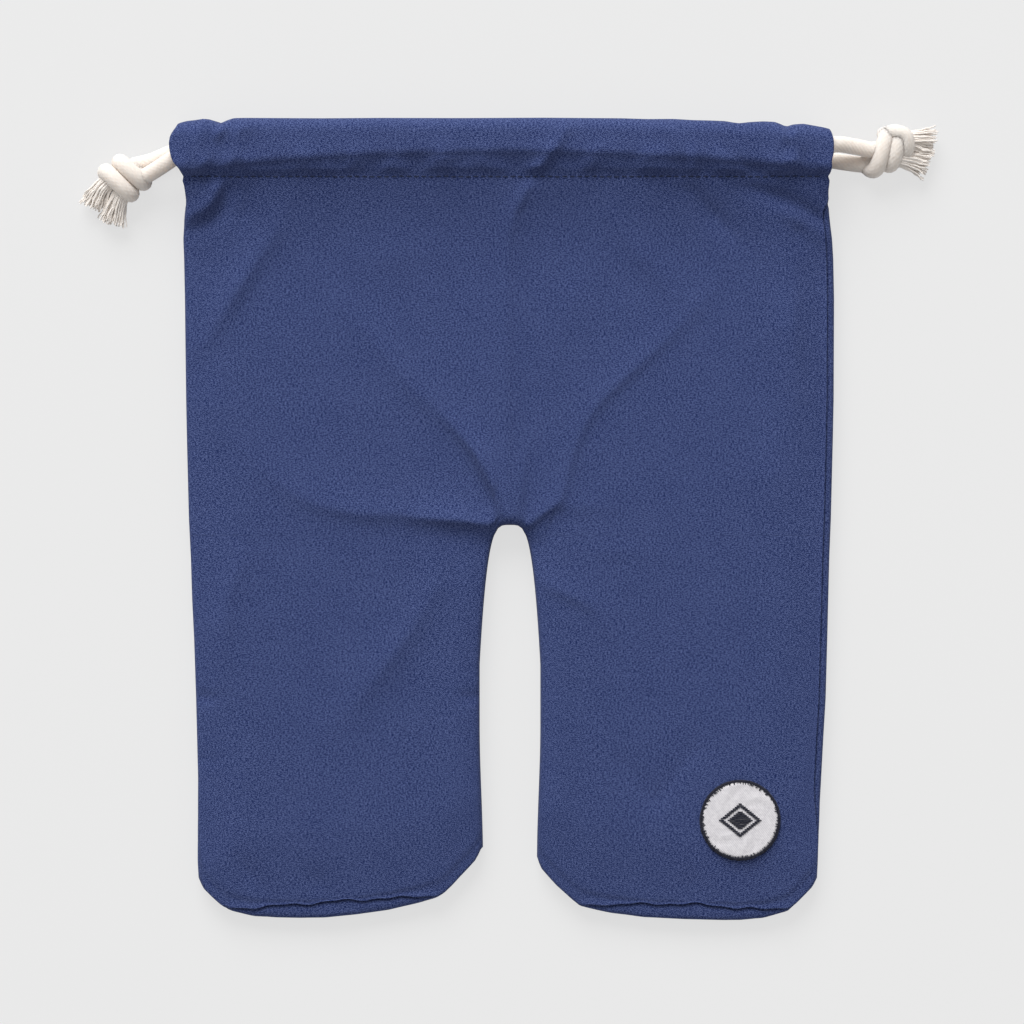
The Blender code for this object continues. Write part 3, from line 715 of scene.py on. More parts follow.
def frayedEnd(name, knot, tuft, material, seed, spread):  # loose yarns that fan out down to the table
    rng = np.random.default_rng(seed)
    place = knotFrame(knot)
    route = smoothRoute([place @ (Vector(p) * mm) for p in tuft], 1.0 * mm)
    along = alongOf(route)
    ahead = np.gradient(route, axis=0)
    ahead /= np.linalg.norm(ahead, axis=1)[:, None]
    side = np.cross(ahead, (0.0, 0.0, 1.0))
    side /= np.linalg.norm(side, axis=1)[:, None]
    up = np.cross(side, ahead)
    lines = []
    for k in range(fray["yarns"]):
        reach = math.sqrt((k + 0.5) / fray["yarns"])
        angle = k * fray["turn"]
        length = along[-1] * rng.uniform(0.72, 1.06)
        curl = rng.normal(0, fray["curl"], 2)
        at = np.linspace(0, min(length, along[-1]), 9)
        share = at / along[-1]
        fan = mix(1.0, spread * rng.uniform(0.8, 1.2), share**1.4)
        sideways = reach * fray["base"] * math.cos(angle) * fan + curl[0] * share**2
        upward = reach * fray["base"] * math.sin(angle) * mix(1.0, fray["flat"], share) + curl[1] * share**2
        places = []
        for values in (route, side, up):
            places.append(np.stack([np.interp(at, along, values[:, c]) for c in range(3)], axis=1))
        line = places[0] + sideways[:, None] * places[1] + upward[:, None] * places[2]
        line[:, 2] = np.maximum(line[:, 2], fray["floor"] + rng.uniform(0, 1.2) * mm)
        lines.append(line)
    return threadsFrom(
        name, lines, [(0, 0, 1)] * len(lines), material, "cream_cotton",
        **{"Thread Radius": fray["yarn"], "Points": 14, "Waviness": 3.0 * mm, "Wave Scale": 260.0,
           "Tip": 0.6, "Seed": seed},
    )


def makeCords():
    cordCotton = makeCotton("creamCord", 1100)
    yarnCotton = makeThread("creamYarn", (0.90, 0.82, 0.745), (0.98, 0.94, 0.90))
    for word, trackY in (("left", upperTrackY), ("right", lowerTrackY)):
        knot = knots[word]
        piece, path, length = makeDrawstring(word + "Drawstring", knot, trackY, cordCotton)
        tied = makeKnot(word + "Knot", knot, cordCotton)
        loose = []
        for number, tuft in enumerate(knot["tufts"], 1):
            name = f"{word}FrayedEnd{number}"
            end = frayedEnd(name, knot, tuft, yarnCotton, 10 * number + knot["side"], fray["spread"])
            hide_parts(f"{word}_frayed_end_{number}")
            loose.append(end)
        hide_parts(word + "_drawstring")
        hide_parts(word + "_knot")
        for each in (piece, tied, *loose):
            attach(each, "root")
        print(word, "drawstring:", round(length, 3), "m from knot to knot")


makeCords()


# Panels

folds = (
    # heights at the start, middle and end of the path, widths on its left and right, rounding of its
    # line, and the path; all in mm, valleys are negative
    ((4.4, 4.2, 0.6), (2.9, 10), 0.6, ((2.8, -1), (-3.5, 14), (-13, 32), (-20, 41), (-31, 53))),
    ((0.8, 1.9, 0.5), (6, 13), 1.5, ((-3, 14), (-26, 47), (-44, 64), (-60, 84), (-83, 108))),
    ((3.6, 3.6, 1.2), (3.4, 9), 0.8, ((-7, -3), (-20, -1.2), (-44, 0.6))),
    ((1.0, 2.6, 0.8), (5, 14), 2, ((-9, -2.5), (-26, -0.6), (-51, 1.5), (-76, 3.5), (-100, 10), (-120, 24))),
    ((1.6, 1.9, 1.4), (16, 4.5), 0.8, ((2.8, 1), (2.2, 39), (1.4, 94), (2.6, 139), (4.5, 147))),
    ((1.8, 1.8, 0.6), (8, 3.2), 0.6, ((16.5, 173), (12, 164), (7, 156), (4, 144))),
    ((1.4, 1.4, 0.3), (5, 4), 0.8, ((6.8, -1), (9.8, 22), (15, 48))),
    ((2.4, 2.2, 0.6), (7, 2.2), 0.4, ((13.6, -3.2), (20, 2.2), (28.8, 8.4))),
    (
        (1.3, 1.9, 0.5), (12, 3.4), 0.8,
        ((27, 7), (31.5, 19), (37, 38), (48.5, 58), (75, 83), (93, 101), (106, 114)),
    ),
    ((0.8, 1.7, 0.6), (10, 5), 2, ((55, 151), (68.5, 131), (88, 111))),
    ((0.2, 0.8, 0.2), (8, 3.5), 1, ((42, -17), (60, -17), (77, -18))),
    ((0.7, 0.7, 0.1), (8, 4), 1, ((29, 7), (45, 6), (62, 5))),
    ((-1.6, -3.0, -0.8), (5, 7), 1.5, ((94, 164), (107, 150), (119, 137))),
    ((-1.6, -4.2, -2.4), (3.2, 5), 0.8, ((122, 166), (133, 162.5), (144, 158.5), (159, 150))),
    ((0.4, 2.0, 1.0), (5, 5), 1.5, ((132, 156), (145, 151), (157, 143))),
    ((-0.4, -1.2, -0.3), (4, 4), 1, ((141, 148), (148, 143), (155, 136))),
    ((0.7, 1.8, 0.6), (5, 14), 2, ((146, 128), (145, 94), (148, 62))),
    ((0.4, 1.2, 0.3), (5, 12), 2, ((135, 42), (136, 22), (137, 2))),
    ((1.2, 3.2, 1.2), (5, 9), 2, ((-113, 144), (-124, 128), (-137, 107), (-149, 87))),
    ((0.5, 1.4, 0.3), (6, 8), 2, ((-147, 76), (-146, 55), (-145, 34))),
    ((-0.6, -1.3, -0.3), (4, 4), 1, ((-127, 162), (-129, 152), (-132, 141))),
    ((3.4, 4.6, 2.4), (2.8, 7), 0.8, ((-141, 172), (-142, 164), (-146.5, 156), (-157, 150))),
    ((-2.2, -3.2, -1.0), (5, 5), 1, ((-136, 172), (-138, 162), (-143, 152), (-155, 144))),
    ((0.8, 2.0, 0.6), (4.5, 10), 1.5, ((-129, -20), (-139, -45), (-140, -92))),
    ((1.2, 2.6, 0.7), (6.5, 11), 2, ((-33, -34), (-50, -61), (-68, -85), (-82, -103))),
    ((-1.8, -1.2, -0.1), (1.8, 2.4), 0.4, ((-153, -89), (-146, -89.5), (-138, -89.5))),
    ((-1.6, -1.0, -0.1), (1.8, 2.4), 0.4, ((-11.5, -89), (-17, -89.5), (-25, -89))),
    ((-0.9, -0.6, -0.1), (1.8, 2.4), 0.4, ((-153, -120), (-147, -120.5), (-140, -120.5))),
    ((0.8, 1.7, 0.7), (7, 2.4), 0.6, ((22, -34), (34, -39), (45, -44.5))),
    ((0.7, 0.9, 0.2), (7, 4), 1, ((44, -44), (50, -51), (57, -62))),
    ((-0.8, -1.5, -0.8), (6, 6), 1.5, ((62, -123), (77, -140), (95, -117))),
    ((-0.3, -1.2, -0.6), (5, 5), 1.5, ((-134, -168), (-126, -178), (-119, -188))),
    ((-0.3, -1.0, -0.6), (5, 5), 1.5, ((-98, -176), (-92, -182), (-88, -190))),
    ((-0.2, -0.9, -0.5), (4, 4), 1.2, ((93, -174), (95, -182), (97, -191))),
    ((0.3, 1.3, 0.5), (16, 12), 5, ((-20, 128), (-52, 132), (-86, 124))),
    ((0.3, 1.0, 0.4), (16, 12), 5, ((26, 84), (36, 112), (52, 130))),
)
creases = (  # of the casing, above its stitching: heights, widths, rounding and path as above
    ((-2.0, -3.4, -2.4), (5, 6), 1, ((-143, 188), (-141, 180), (-137, 173))),
    ((2.6, 2.6, 1.2), (5, 5), 1.5, ((-152, 190), (-151, 181), (-148, 173))),
    ((2.0, 2.6, 0.8), (4, 3), 0.8, ((-136, 200), (-141, 192), (-144, 186))),
    ((1.6, 1.8, 0.4), (5, 3), 0.8, ((-126, 198), (-133, 190), (-131, 180))),
    ((0.6, 2.0, 1.2), (7, 6), 1.5, ((-104, 184), (-98, 178), (-96, 172))),
    ((0.4, 1.4, 0.8), (4, 5), 1.2, ((-76, 184), (-74, 178), (-77, 172))),
    ((0.6, 2.8, 2.2), (5, 5), 1.5, ((-30, 184), (-29, 177), (-28, 172))),
    ((0.4, 1.4, 0.8), (4, 4), 1.2, ((-8, 184), (-10, 178), (-9, 172))),
    ((1.2, 2.6, 2.0), (2.6, 6), 0.6, ((32, 194), (26, 184), (16.5, 172))),
    ((0.4, 1.6, 1.0), (6, 4), 1.2, ((46, 184), (44, 178), (45, 172))),
    ((0.6, 2.8, 2.2), (5, 5), 1.5, ((70, 184), (72, 177), (74, 172))),
    ((1.6, 2.0, 1.0), (3, 6), 0.8, ((82, 196), (88, 186), (94, 174))),
    ((1.4, 1.4, 0.4), (3, 5), 0.8, ((109, 197), (112, 188), (119, 178))),
    ((-1.4, -2.6, -1.6), (5, 5), 1, ((112, 184), (119, 178), (126, 172))),
    ((0.8, 2.8, 2.0), (5, 5), 1.2, ((140, 184), (142, 178), (140, 172))),
    ((1.8, 2.2, 0.8), (3, 4), 0.8, ((137, 198), (139, 190), (137, 182))),
    ((1.8, 2.0, 0.6), (3, 4), 0.8, ((146, 197), (145, 190), (150, 182))),
    ((-1.4, -2.4, -1.2), (4, 5), 1, ((150, 182), (153, 177), (158, 172))),
)
stitches = dict(
    pitch=3.7 * mm, length=2.4 * mm, thread=0.28 * mm, arch=0.18 * mm, inset=4 * mm,
    proud=0.04 * mm, sunk=0.12 * mm, groove=0.28 * mm, grooveWidth=1.4 * mm,
)
gathers = dict(seed=4, count=36, height=2.6 * mm, width=3.8 * mm, slant=0.9)
grid = dict(  # how many strips each stretch of a panel has
    side=8, leg=84, gap=6, arch=8, sole=9, legRows=66, bodyRows=103, slope=18, flat=5, nose=14, inner=9,
)
pillow = dict(  # how far the cloth lies lower at an edge, and within what distance
    side=(2.6 * mm, 26 * mm),
    gap=(1.0 * mm, 12 * mm),
    sole=(2.8 * mm, 46 * mm),
    hem=(0.7 * mm, 6.5 * mm, 10.0 * mm),  # lower as far as the first distance, and back up at the second
    fade=46 * mm,  # the others fade out within this far below the casing
)


def foldPaths(group):
    for heights, widths, rounding, path in group:
        points = [(x * mm, y * mm, 0.0) for x, y in path]
        yield np.array(heights) * mm, np.array(widths) * mm, rounding * mm, smoothRoute(points, 4 * mm)[:, :2]


foldList = list(foldPaths(folds))
creaseList = list(foldPaths(creases))


def foldHeight(group, x, y):
    total = np.zeros_like(x)
    for heights, widths, rounding, path in group:
        best = np.full_like(x, np.inf)
        place = np.zeros_like(x)
        left = np.zeros(x.shape, bool)
        for k, (start, end) in enumerate(zip(path, path[1:])):
            run = end - start
            offX, offY = x - start[0], y - start[1]
            share = np.clip((offX * run[0] + offY * run[1]) / (run @ run), 0, 1)
            away = np.hypot(offX - run[0] * share, offY - run[1] * share)
            nearer = away < best
            best = np.where(nearer, away, best)
            place = np.where(nearer, (k + share) / (len(path) - 1), place)
            left = np.where(nearer, run[0] * offY - run[1] * offX > 0, left)
        height = np.interp(place, (0, 0.5, 1), heights)
        fades = smooth(best, 4 * np.where(left, widths[0], widths[1]), 0)
        total += height * crease(best, np.where(left, widths[0], widths[1]), rounding) * fades
    return total


def gapHalfWidth(y):
    below = np.maximum(0.0, crotchY - y)
    opened = bag["legGapHalf"] * np.minimum(1.0, below / bag["legGapRun"]) ** 0.25
    start, end = (soleY + height for height in bag["gapInAboveSole"])
    return opened - (bag["legGapHalf"] - bag["ankleGapHalf"]) * smooth(y, start, end)


def archY(x):
    across = np.minimum(np.abs(x - bag["legShift"]), bag["archHalf"]) / bag["legGapHalf"]
    return crotchY - bag["legGapRun"] * across**4


def edgeAt(name, place):  # an edge of the outline, rounded a little between its points
    points = np.array(outline[name]) * mm
    along = np.linspace(points[0, 0], points[-1, 0], 900)
    level = np.interp(along, points[:, 0], points[:, 1])
    span = max(3, int(1.5 * mm / (along[1] - along[0])) | 1)
    padded = np.pad(level, span // 2, mode="edge")
    level = np.convolve(padded, np.ones(span) / span, mode="valid")
    return np.interp(place, along, level)


def topEdgeY(x):
    return edgeAt("top", x)


def sideX(side, y):
    outer = np.where(side < 0, edgeAt("left", y), edgeAt("right", y))
    return np.where(side == 0, bag["legShift"], outer)


def casingX(across, y, inset=0.0):  # across is 0 at the left end and 1 at the right one
    return mix(edgeAt("leftEnd", y) + inset, edgeAt("rightEnd", y) - inset, across)


def casingEdgeY(across):
    edge = topEdgeY(mix(-casingHalf, casingHalf, across))
    for _ in range(4):  # a column's place changes with the height at which it ends
        edge = topEdgeY(casingX(across, edge))
    return edge


def soleEdgeY(side, x):
    return np.where(side < 0, edgeAt("leftSole", x), edgeAt("rightSole", x))


def crotchDistance(x, y):
    edge = bag["legShift"] + np.linspace(-bag["archHalf"], bag["archHalf"], 25)
    away = [np.hypot(x - edgeX, y - archY(edgeX)) for edgeX in edge]
    return np.min(away, axis=0)


badge = dict(
    diameter=40.0 * mm,
    thickness=1.0 * mm,
    rim=0.9 * mm,
    sideInset=40.0 * mm,
    soleInset=42.5 * mm,
    restGap=0.3 * mm,
    motif=(21.0 * mm, 17.0 * mm),
)
badgeX = bag["legShift"] + bag["ankleHalf"] - badge["sideInset"]
badgeY = soleY + badge["soleInset"]
badgeZ = bag["bodyHeight"] + badge["restGap"]


def edgeDrop(x, y):  # the empty bag is flatter towards its edges, and most of all along the seam at the sole
    toSide = np.minimum(x - sideX(-1.0, y), sideX(1.0, y) - x)
    toGap = np.where(y < legTopY, np.abs(x - bag["legShift"]) - gapHalfWidth(y), 1.0)
    toSole = y - soleEdgeY(np.where(x < bag["legShift"], -1.0, 1.0), x)
    below = 1 - smooth(y, stitchY - pillow["fade"], stitchY - casing["hemReturn"])
    drops = []
    for away, (depth, reach) in ((toSide, pillow["side"]), (toGap, pillow["gap"]), (toSole, pillow["sole"])):
        drops.append(depth * (1 - smooth(away, 0, reach)))
    depth, start, end = pillow["hem"]
    return np.maximum.reduce(drops) * below + depth * (1 - smooth(toSole, start, end))


def topHeight(x, y):
    rise = frontHemZ + stitchedHeight + casing["stitchRaise"] - bag["bodyHeight"]
    badgeOff = np.hypot(x - badgeX, y - badgeY) - badge["diameter"] / 2
    height = bag["bodyHeight"] + rise * np.clip((y - stitchY) / casing["riseRun"] + 1, 0, 1) ** 2
    height = height - edgeDrop(x, y) * smooth(badgeOff, -1 * mm, 5 * mm)
    folded = smooth(badgeOff, 4 * mm, 26 * mm) * smooth(y, stitchY - 0.5 * mm, stitchY - 6 * mm)
    dip = bag["crotchDip"] * bell(crotchDistance(x, y), bag["crotchDipReach"])
    return height + folded * foldHeight(foldList, x, y) - dip


seam = dict(
    ridge=0.5 * mm,  # the front edge stands proud of the back one
    sunk=0.55 * mm,
    reach=0.5,
    comesUp=(-180 * mm, -130 * mm),  # at a side it lies on the edge below the first height
    goesDown=(stitchY - 18 * mm, slitY + 6 * mm),
)


def sideTurn(side, y):
    shown = smooth(y, *seam["comesUp"]) * (1 - smooth(y, *seam["goesDown"]))
    return side * bag["sideSeamTurn"] * shown


def soleTurn(side, x):
    along = np.abs(bag["legShift"] + side * bag["ankleHalf"] - x)
    share = np.clip((along - bag["outerCut"]) / (legWidth - bag["outerCut"] - bag["innerCut"]), 0, 1)
    wander = 1 + 0.05 * np.sin(x * 210) + 0.03 * np.sin(x * 470)
    return bag["soleSeamTurn"] * np.sin(math.pi * share) ** 0.42 * wander


def panelColumns():  # from left to right: side of the bag, zone and share of that zone
    left = [(-1, "side", k / grid["side"]) for k in range(grid["side"])]
    left += [(-1, "leg", 1 - (1 - k / grid["leg"]) ** 1.3) for k in range(grid["leg"])]
    left += [(-1, "gap", k / grid["gap"]) for k in range(grid["gap"] + 1)]
    arch = [(0, "arch", k / grid["arch"]) for k in range(1, grid["arch"])]
    right = [(1, zone, share) for _, zone, share in reversed(left)]
    everyOne = left + arch + right
    side = np.array([c[0] for c in everyOne], float)
    zone = np.array([c[1] for c in everyOne])
    share = np.array([c[2] for c in everyOne])
    return side, zone, share


columns = panelColumns()


def acrossLeg(face, y):  # place of each column, and its height share: 1 on top, 0 at the edge, -1 below
    side, zone, share = columns
    outer = sideX(side, y)
    inner = bag["legShift"] + side * gapHalfWidth(y)
    roll = bag["sideRoll"]
    turn = mix(sideTurn(side, y) + face * sideGapTurn, face * math.pi / 2, share)
    opened = smooth(y, slitY, stitchY - casing["hemReturn"])
    sideAt = outer - side * roll * mix(1 - np.cos(turn), share, opened)
    gapTurn = face * mix(math.pi / 2, sideGapTurn, share)
    gapAt = inner + side * roll * (1 - np.cos(gapTurn))
    legAt = mix(outer - side * roll, inner + side * roll, share)
    kinds = [zone == "side", zone == "gap"]
    x = np.select(kinds, [sideAt, gapAt], legAt)
    height = np.select(kinds, [mix(np.sin(turn), face, opened), np.sin(gapTurn)], float(face))
    return x, height


def seamLift(face, share):  # share is 0 at a seam
    near = 1 - smooth(share, 0, seam["reach"])
    return near * (seam["ridge"] if face > 0 else -seam["sunk"])


def flatter(height):  # steep just above the seam, then nearly level
    return mix(height, height**0.22, smooth(height, 0.02, 0.4))


def outerFace(face, x, y, height):
    edge = bag["sideLevel"] + face * bag["seamGap"] / 2
    above = edge + (topHeight(x, y) - edge) * flatter(np.maximum(height, 0))
    return np.stack([x, y, np.where(height > 0, above, edge * (1 + np.minimum(height, 0)))], axis=1)


def legRow(face, zone, share):
    side = columns[0]
    seamX = acrossLeg(face, np.full_like(side, soleY))[0]
    turn = np.full_like(side, face * math.pi / 2)
    if zone == "sole":
        turn = mix(turn, soleTurn(side, seamX) + face * soleGapTurn, share)
    y = soleEdgeY(side, seamX) + bag["soleRoll"] * (1 - np.cos(turn))
    if zone == "leg":
        y = mix(legTopY, y, share)
    x, height = acrossLeg(face, y)
    rolled = np.sin(turn)
    sign = np.minimum(height, rolled) if face > 0 else np.maximum(height, rolled)
    points = outerFace(face, x, y, np.copysign(np.abs(height * rolled), sign))
    offSole = 1 - share if zone == "sole" else 1.0
    offSide = np.where(columns[1] == "side", columns[2], 1.0)
    points[:, 2] += np.where(points[:, 2] > bag["sideLevel"], seamLift(face, np.minimum(offSole, offSide)), 0)
    return points


def acrossBody(face, y):
    side, zone, share = columns
    x, height = acrossLeg(face, y)
    start = acrossLeg(face, np.full_like(side, legTopY))[0]
    inArch = bag["legShift"] + mix(-bag["archHalf"], bag["archHalf"], share)
    start = np.where(zone == "arch", inArch, start)
    left = sideX(-1.0, y) + bag["sideRoll"]
    right = sideX(1.0, y) - bag["sideRoll"]
    order = np.arange(len(side)) - grid["side"]
    last = len(side) - 1 - 2 * grid["side"]
    even = mix(left, right, order / last)
    inner = mix(start, even, 0.85 * smooth(y, legTopY, stitchY))
    isSide = zone == "side"
    return np.where(isSide, x, inner), np.where(isSide, height, float(face))


def bodyRow(face, share):
    side, zone, _ = columns
    x = acrossBody(face, np.full_like(side, mix(legTopY, stitchY, share)))[0]
    y = mix(archY(x), stitchY, share)
    x, height = acrossBody(face, y)
    inside = np.minimum(1.0, crotchDistance(x, y) / bag["sideRoll"])
    near = np.sqrt(1 - (1 - inside) ** 2)
    points = outerFace(face, x, y, height * np.maximum(near, math.sin(sideGapTurn)))
    if share == 0:
        legX, legHeight = acrossLeg(face, np.full_like(side, legTopY))
        atLegs = outerFace(face, legX, np.full_like(side, legTopY), legHeight)
        points = np.where((zone == "arch")[:, None], points, atLegs)
    lift = seamLift(face, np.where(zone == "side", columns[2], 1.0)) * smooth(points[:, 1], stitchY, slitY)
    points[:, 2] += np.where(points[:, 2] > bag["sideLevel"], lift, 0)
    if face < 0:
        points[:, 2] += stitches["groove"] * bell(points[:, 1] - stitchY, stitches["grooveWidth"])
    return points


def gatherHeight(x, y):
    rng = np.random.default_rng(gathers["seed"])
    total = np.zeros_like(x)
    step = casing["width"] / gathers["count"]
    for k in range(gathers["count"]):
        at = -casingHalf + step * (k + rng.uniform(0.1, 0.9))
        height = gathers["height"] * rng.uniform(0.25, 1.0)
        width = gathers["width"] * rng.uniform(0.7, 1.5)
        slant = gathers["slant"] * rng.uniform(-1, 1)
        reach = rng.uniform(8, 24) * mm
        total += height * bell(x - at - slant * (y - stitchY), width) * smooth(y - stitchY, reach, 0)
    return total


def underCloth(x, y):  # top of what lies under the outer layer of a casing: the cords, or else its hem
    top = np.full_like(y, bag["cloth"])
    for trackY in (upperTrackY, lowerTrackY):
        off = np.minimum(np.abs(y - trackY(x)), cord["diameter"] / 2)
        half = np.sqrt((cord["diameter"] / 2) ** 2 - off**2)
        top = np.where(half > 0, np.maximum(top, backCordZ + half), top)
    between = (y > lowerTrackY(x)) & (y < upperTrackY(x))
    return np.where(between, backCordZ + cord["diameter"] / 2, top)


def casingSection(face, across):
    x = mix(-casingHalf, casingHalf, across)
    edge = casingEdgeY(across)
    nose = casing["noseDepth"]
    centre = lowerTrackY(x)
    slack = casing["slack"] * (face > 0)
    raised = casing["stitchRaise"] * (face > 0)
    over = backCordZ + slack
    low = stitchedHeight + raised
    radius = cord["diameter"] / 2 + cord["clearance"] + bag["cloth"]
    run, climb = centre - stitchY, over - low
    slope = np.arctan2(climb, run) + np.arcsin(radius / np.hypot(run, climb))
    leave = radius * np.sin(slope)  # below the cord's middle the cloth leaves the cord and runs straight
    rows = []
    for k in range(grid["slope"] + 1):
        share = k / grid["slope"]
        y = mix(stitchY, centre, share)
        off = centre - y
        part = np.clip((y - stitchY) / (run - leave), 0, 1)
        straight = low + (y - stitchY) * np.tan(slope) - 4 * casing["sag"] * (face > 0) * part * (1 - part)
        along = over + np.sqrt(np.maximum(radius**2 - off**2, 0))
        height = np.where(off > leave, np.maximum(straight, np.where(off < radius, along, 0)), along)
        rows.append((y, height, 0.0, float(smooth(share, 0, 0.35))))
    for k in range(1, grid["flat"]):
        share = k / grid["flat"]
        rows.append((mix(centre, edge - nose, share), casingHeight + slack, 0.0, 1.0))
    for turn in np.linspace(math.pi / 2, -math.pi / 2, grid["nose"] + 1):
        y = edge - nose * (1 - math.cos(turn))
        share = 0.5 - turn / math.pi
        height = (casingHeight + slack) / 2 * (1 + math.sin(turn))
        rows.append((y, height, share, max(0.0, math.sin(turn)) ** 2))
    for k in range(1, grid["inner"] + 1):
        y = mix(edge - nose, stitchY, (k / grid["inner"]) ** 0.8)
        off = np.minimum(np.abs(y - centre), cord["diameter"] / 2)
        under = backCordZ - np.sqrt((cord["diameter"] / 2) ** 2 - off**2) - bag["cloth"] - 2 * casing["apart"]
        height = raised * (1 - smooth(y, stitchY, stitchY + 8 * mm))
        rows.append((y, np.where(off < cord["diameter"] / 2, np.minimum(height, under), height), 1.0, 0.0))
    if face < 0:
        rows = [(y, height, 1 - inside, relief) for y, height, inside, relief in reversed(rows)]
    last = rows[-1][1] - casing["hemDrop"] * (face > 0)
    rows.append((stitchY - casing["hemReturn"], last, 1.0, 0.0))
    return rows


def casingRows(face):
    side = columns[0]
    base = bodyRow(face, 1.0)
    left, right = sideX(-1.0, stitchY), sideX(1.0, stitchY)
    across = (base[:, 0] - left) / (right - left)
    rows = []
    for y, height, inside, relief in casingSection(face, across):
        y = np.broadcast_to(y, side.shape).astype(float)
        height = np.broadcast_to(height, side.shape).astype(float)
        x = casingX(across, y, casing["slitInset"] * smooth(inside, 0.5, 1))
        if face > 0:
            wrinkles = gatherHeight(x, y) + foldHeight(creaseList, x, y)
            room = np.maximum(height - bag["cloth"] - underCloth(x, y) - casing["apart"], 0.05 * mm)
            wrinkles = np.where(wrinkles < 0, -room * np.tanh(-wrinkles / room), wrinkles)
            height = frontHemZ + height + relief * wrinkles
        elif inside == 0:
            height += stitches["groove"] * bell(y - stitchY, stitches["grooveWidth"])
        rows.append(np.stack([x, y, height], axis=1))
    return rows


def panelGrid(face):  # the outer face, row by row from the sole to the hem of the casing
    rows = [legRow(face, "sole", 1 - k / grid["sole"]) for k in range(grid["sole"])]
    rows += [legRow(face, "leg", 1 - k / grid["legRows"]) for k in range(grid["legRows"])]
    crotchRow = len(rows)
    shares = np.linspace(0, 1, grid["bodyRows"] + 1)[:-1] ** 1.25
    rows += [bodyRow(face, share) for share in shares]
    return np.array(rows + casingRows(face)), crotchRow


def clothMap(points, stitchRow):  # lengths along the cloth from its middle column and from the stitching
    across = np.linalg.norm(np.diff(points, axis=1), axis=2)
    along = np.linalg.norm(np.diff(points, axis=0), axis=2)
    u = np.concatenate([np.zeros((len(points), 1)), np.cumsum(across, axis=1)], axis=1)
    v = np.concatenate([np.zeros((1, points.shape[1])), np.cumsum(along, axis=0)], axis=0)
    return u - u[:, points.shape[1] // 2][:, None], v - v[stitchRow]


def seamAt(index, level, place):  # turn of the seam, and roughly which way the inside lies
    side, zone = columns[0][index], columns[1][index]
    if level == 0:
        return float(soleTurn(side, place[0])), Vector((0, 1))
    if zone == "side":
        return float(sideTurn(side, place[1])), Vector((-side, 0))
    return 0.0, Vector((side, 0)) if side else Vector((0, 1))


def turnSeamsIn(bm, places):  # the allowance turns inside, square to the rolled edge, clipped at corners
    edges = [e for e in bm.edges if e.is_boundary and all(v.co.y < slitY for v in e.verts)]
    inward, corners = {}, []
    for vert in {v for e in edges for v in e.verts}:
        a, b = [e.other_vert(vert).co for e in vert.link_edges if e.is_boundary]
        sideways = (a - b).xy.normalized()
        normal = Vector((-sideways.y, sideways.x))
        turn, inside = seamAt(*places[vert.index], vert.co)
        if normal.dot(inside) < 0:
            normal.negate()
        inward[vert] = Vector((*(normal * math.cos(turn)), -math.sin(turn)))
        if (a - vert.co).angle(vert.co - b) > bag["cornerBend"]:
            corners.append(vert.co.copy())
    made = bmesh.ops.extrude_edge_only(bm, edges=edges)["geom"]
    moves = []
    for vert in [v for v in made if isinstance(v, bmesh.types.BMVert)]:
        origin = next(e.other_vert(vert) for e in vert.link_edges if e.other_vert(vert) in inward)
        toCorner = min(((corner - vert.co).length for corner in corners), default=1.0)
        moves.append((vert, inward[origin] * min(bag["allowance"], bag["clipped"] + toCorner * 0.6)))
    for vert, move in moves:
        vert.co += move


def makePanel(name, face, node, material):
    points, crotchRow = panelGrid(face)
    rowCount, columnCount = points.shape[:2]
    stitchRow = rowCount - len(casingSection(face, np.zeros(1)))
    u, v = clothMap(points, stitchRow)
    isGap = columns[1] == "arch"
    keep = np.ones((rowCount, columnCount), bool)
    keep[:crotchRow, isGap] = False
    number = np.cumsum(keep.ravel()).reshape(keep.shape) - 1
    places = [(int(index), int(level)) for level, index in np.argwhere(keep)]
    faces, uvs = [], []
    for level in range(rowCount - 1):
        for index in range(columnCount - 1):
            corner = ((level, index), (level, index + 1), (level + 1, index + 1), (level + 1, index))
            if all(keep[c] for c in corner):
                if face < 0:
                    corner = corner[::-1]
                faces.append(tuple(number[c] for c in corner))
                uvs += [(u[c], v[c]) for c in corner]
    data = meshOf(name, points[keep], faces, uvs)
    bm = bmesh.new()
    bm.from_mesh(data)
    bm.verts.ensure_lookup_table()
    turnSeamsIn(bm, places)
    bm.to_mesh(data)
    bm.free()
    data.shade_smooth()
    panel = newPiece(name, data, material)
    layer = panel.modifiers.new("cloth", "SOLIDIFY")
    layer.thickness = bag["cloth"]
    layer.offset = -1
    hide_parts(node)
    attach(panel, "root")
    return panel


navyCanvas = makeCanvas()
frontPanel = makePanel("frontPanel", 1, "front_panel", navyCanvas)
backPanel = makePanel("backPanel", -1, "back_panel", navyCanvas)
print("panels are cut and sewn")


# Stitching of the casing


def surfaceTree(panel):
    graph = bpy.context.evaluated_depsgraph_get()
    return BVHTree.FromObject(panel, graph)


def sewCasing(name, panel, face, material):
    surface = surfaceTree(panel)
    rng = np.random.default_rng(11)
    lines = []
    start = casingX(0.0, stitchY, stitches["inset"])
    end = casingX(1.0, stitchY, stitches["inset"])
    for x in np.arange(start, end, stitches["pitch"]):
        line = []
        y = stitchY + rng.normal(0, 0.1) * mm
        for share in (0, 0.5, 1):
            at = Vector((x + share * stitches["length"], y + rng.normal(0, 0.05) * mm, face * 60 * mm))
            hit = surface.ray_cast(at, Vector((0, 0, -face)))[0]
            off = stitches["proud"] if share == 0.5 else -stitches["sunk"]
            line.append(hit + Vector((0, 0, face * off)))
        lines.append(line)
    sewn = threadsFrom(
        name, lines, [(0, 0, face)] * len(lines), material, "navy_canvas",
        **{"Thread Radius": stitches["thread"], "Arch": stitches["arch"] * (face > 0)},
    )
    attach(sewn, "root")
    return sewn


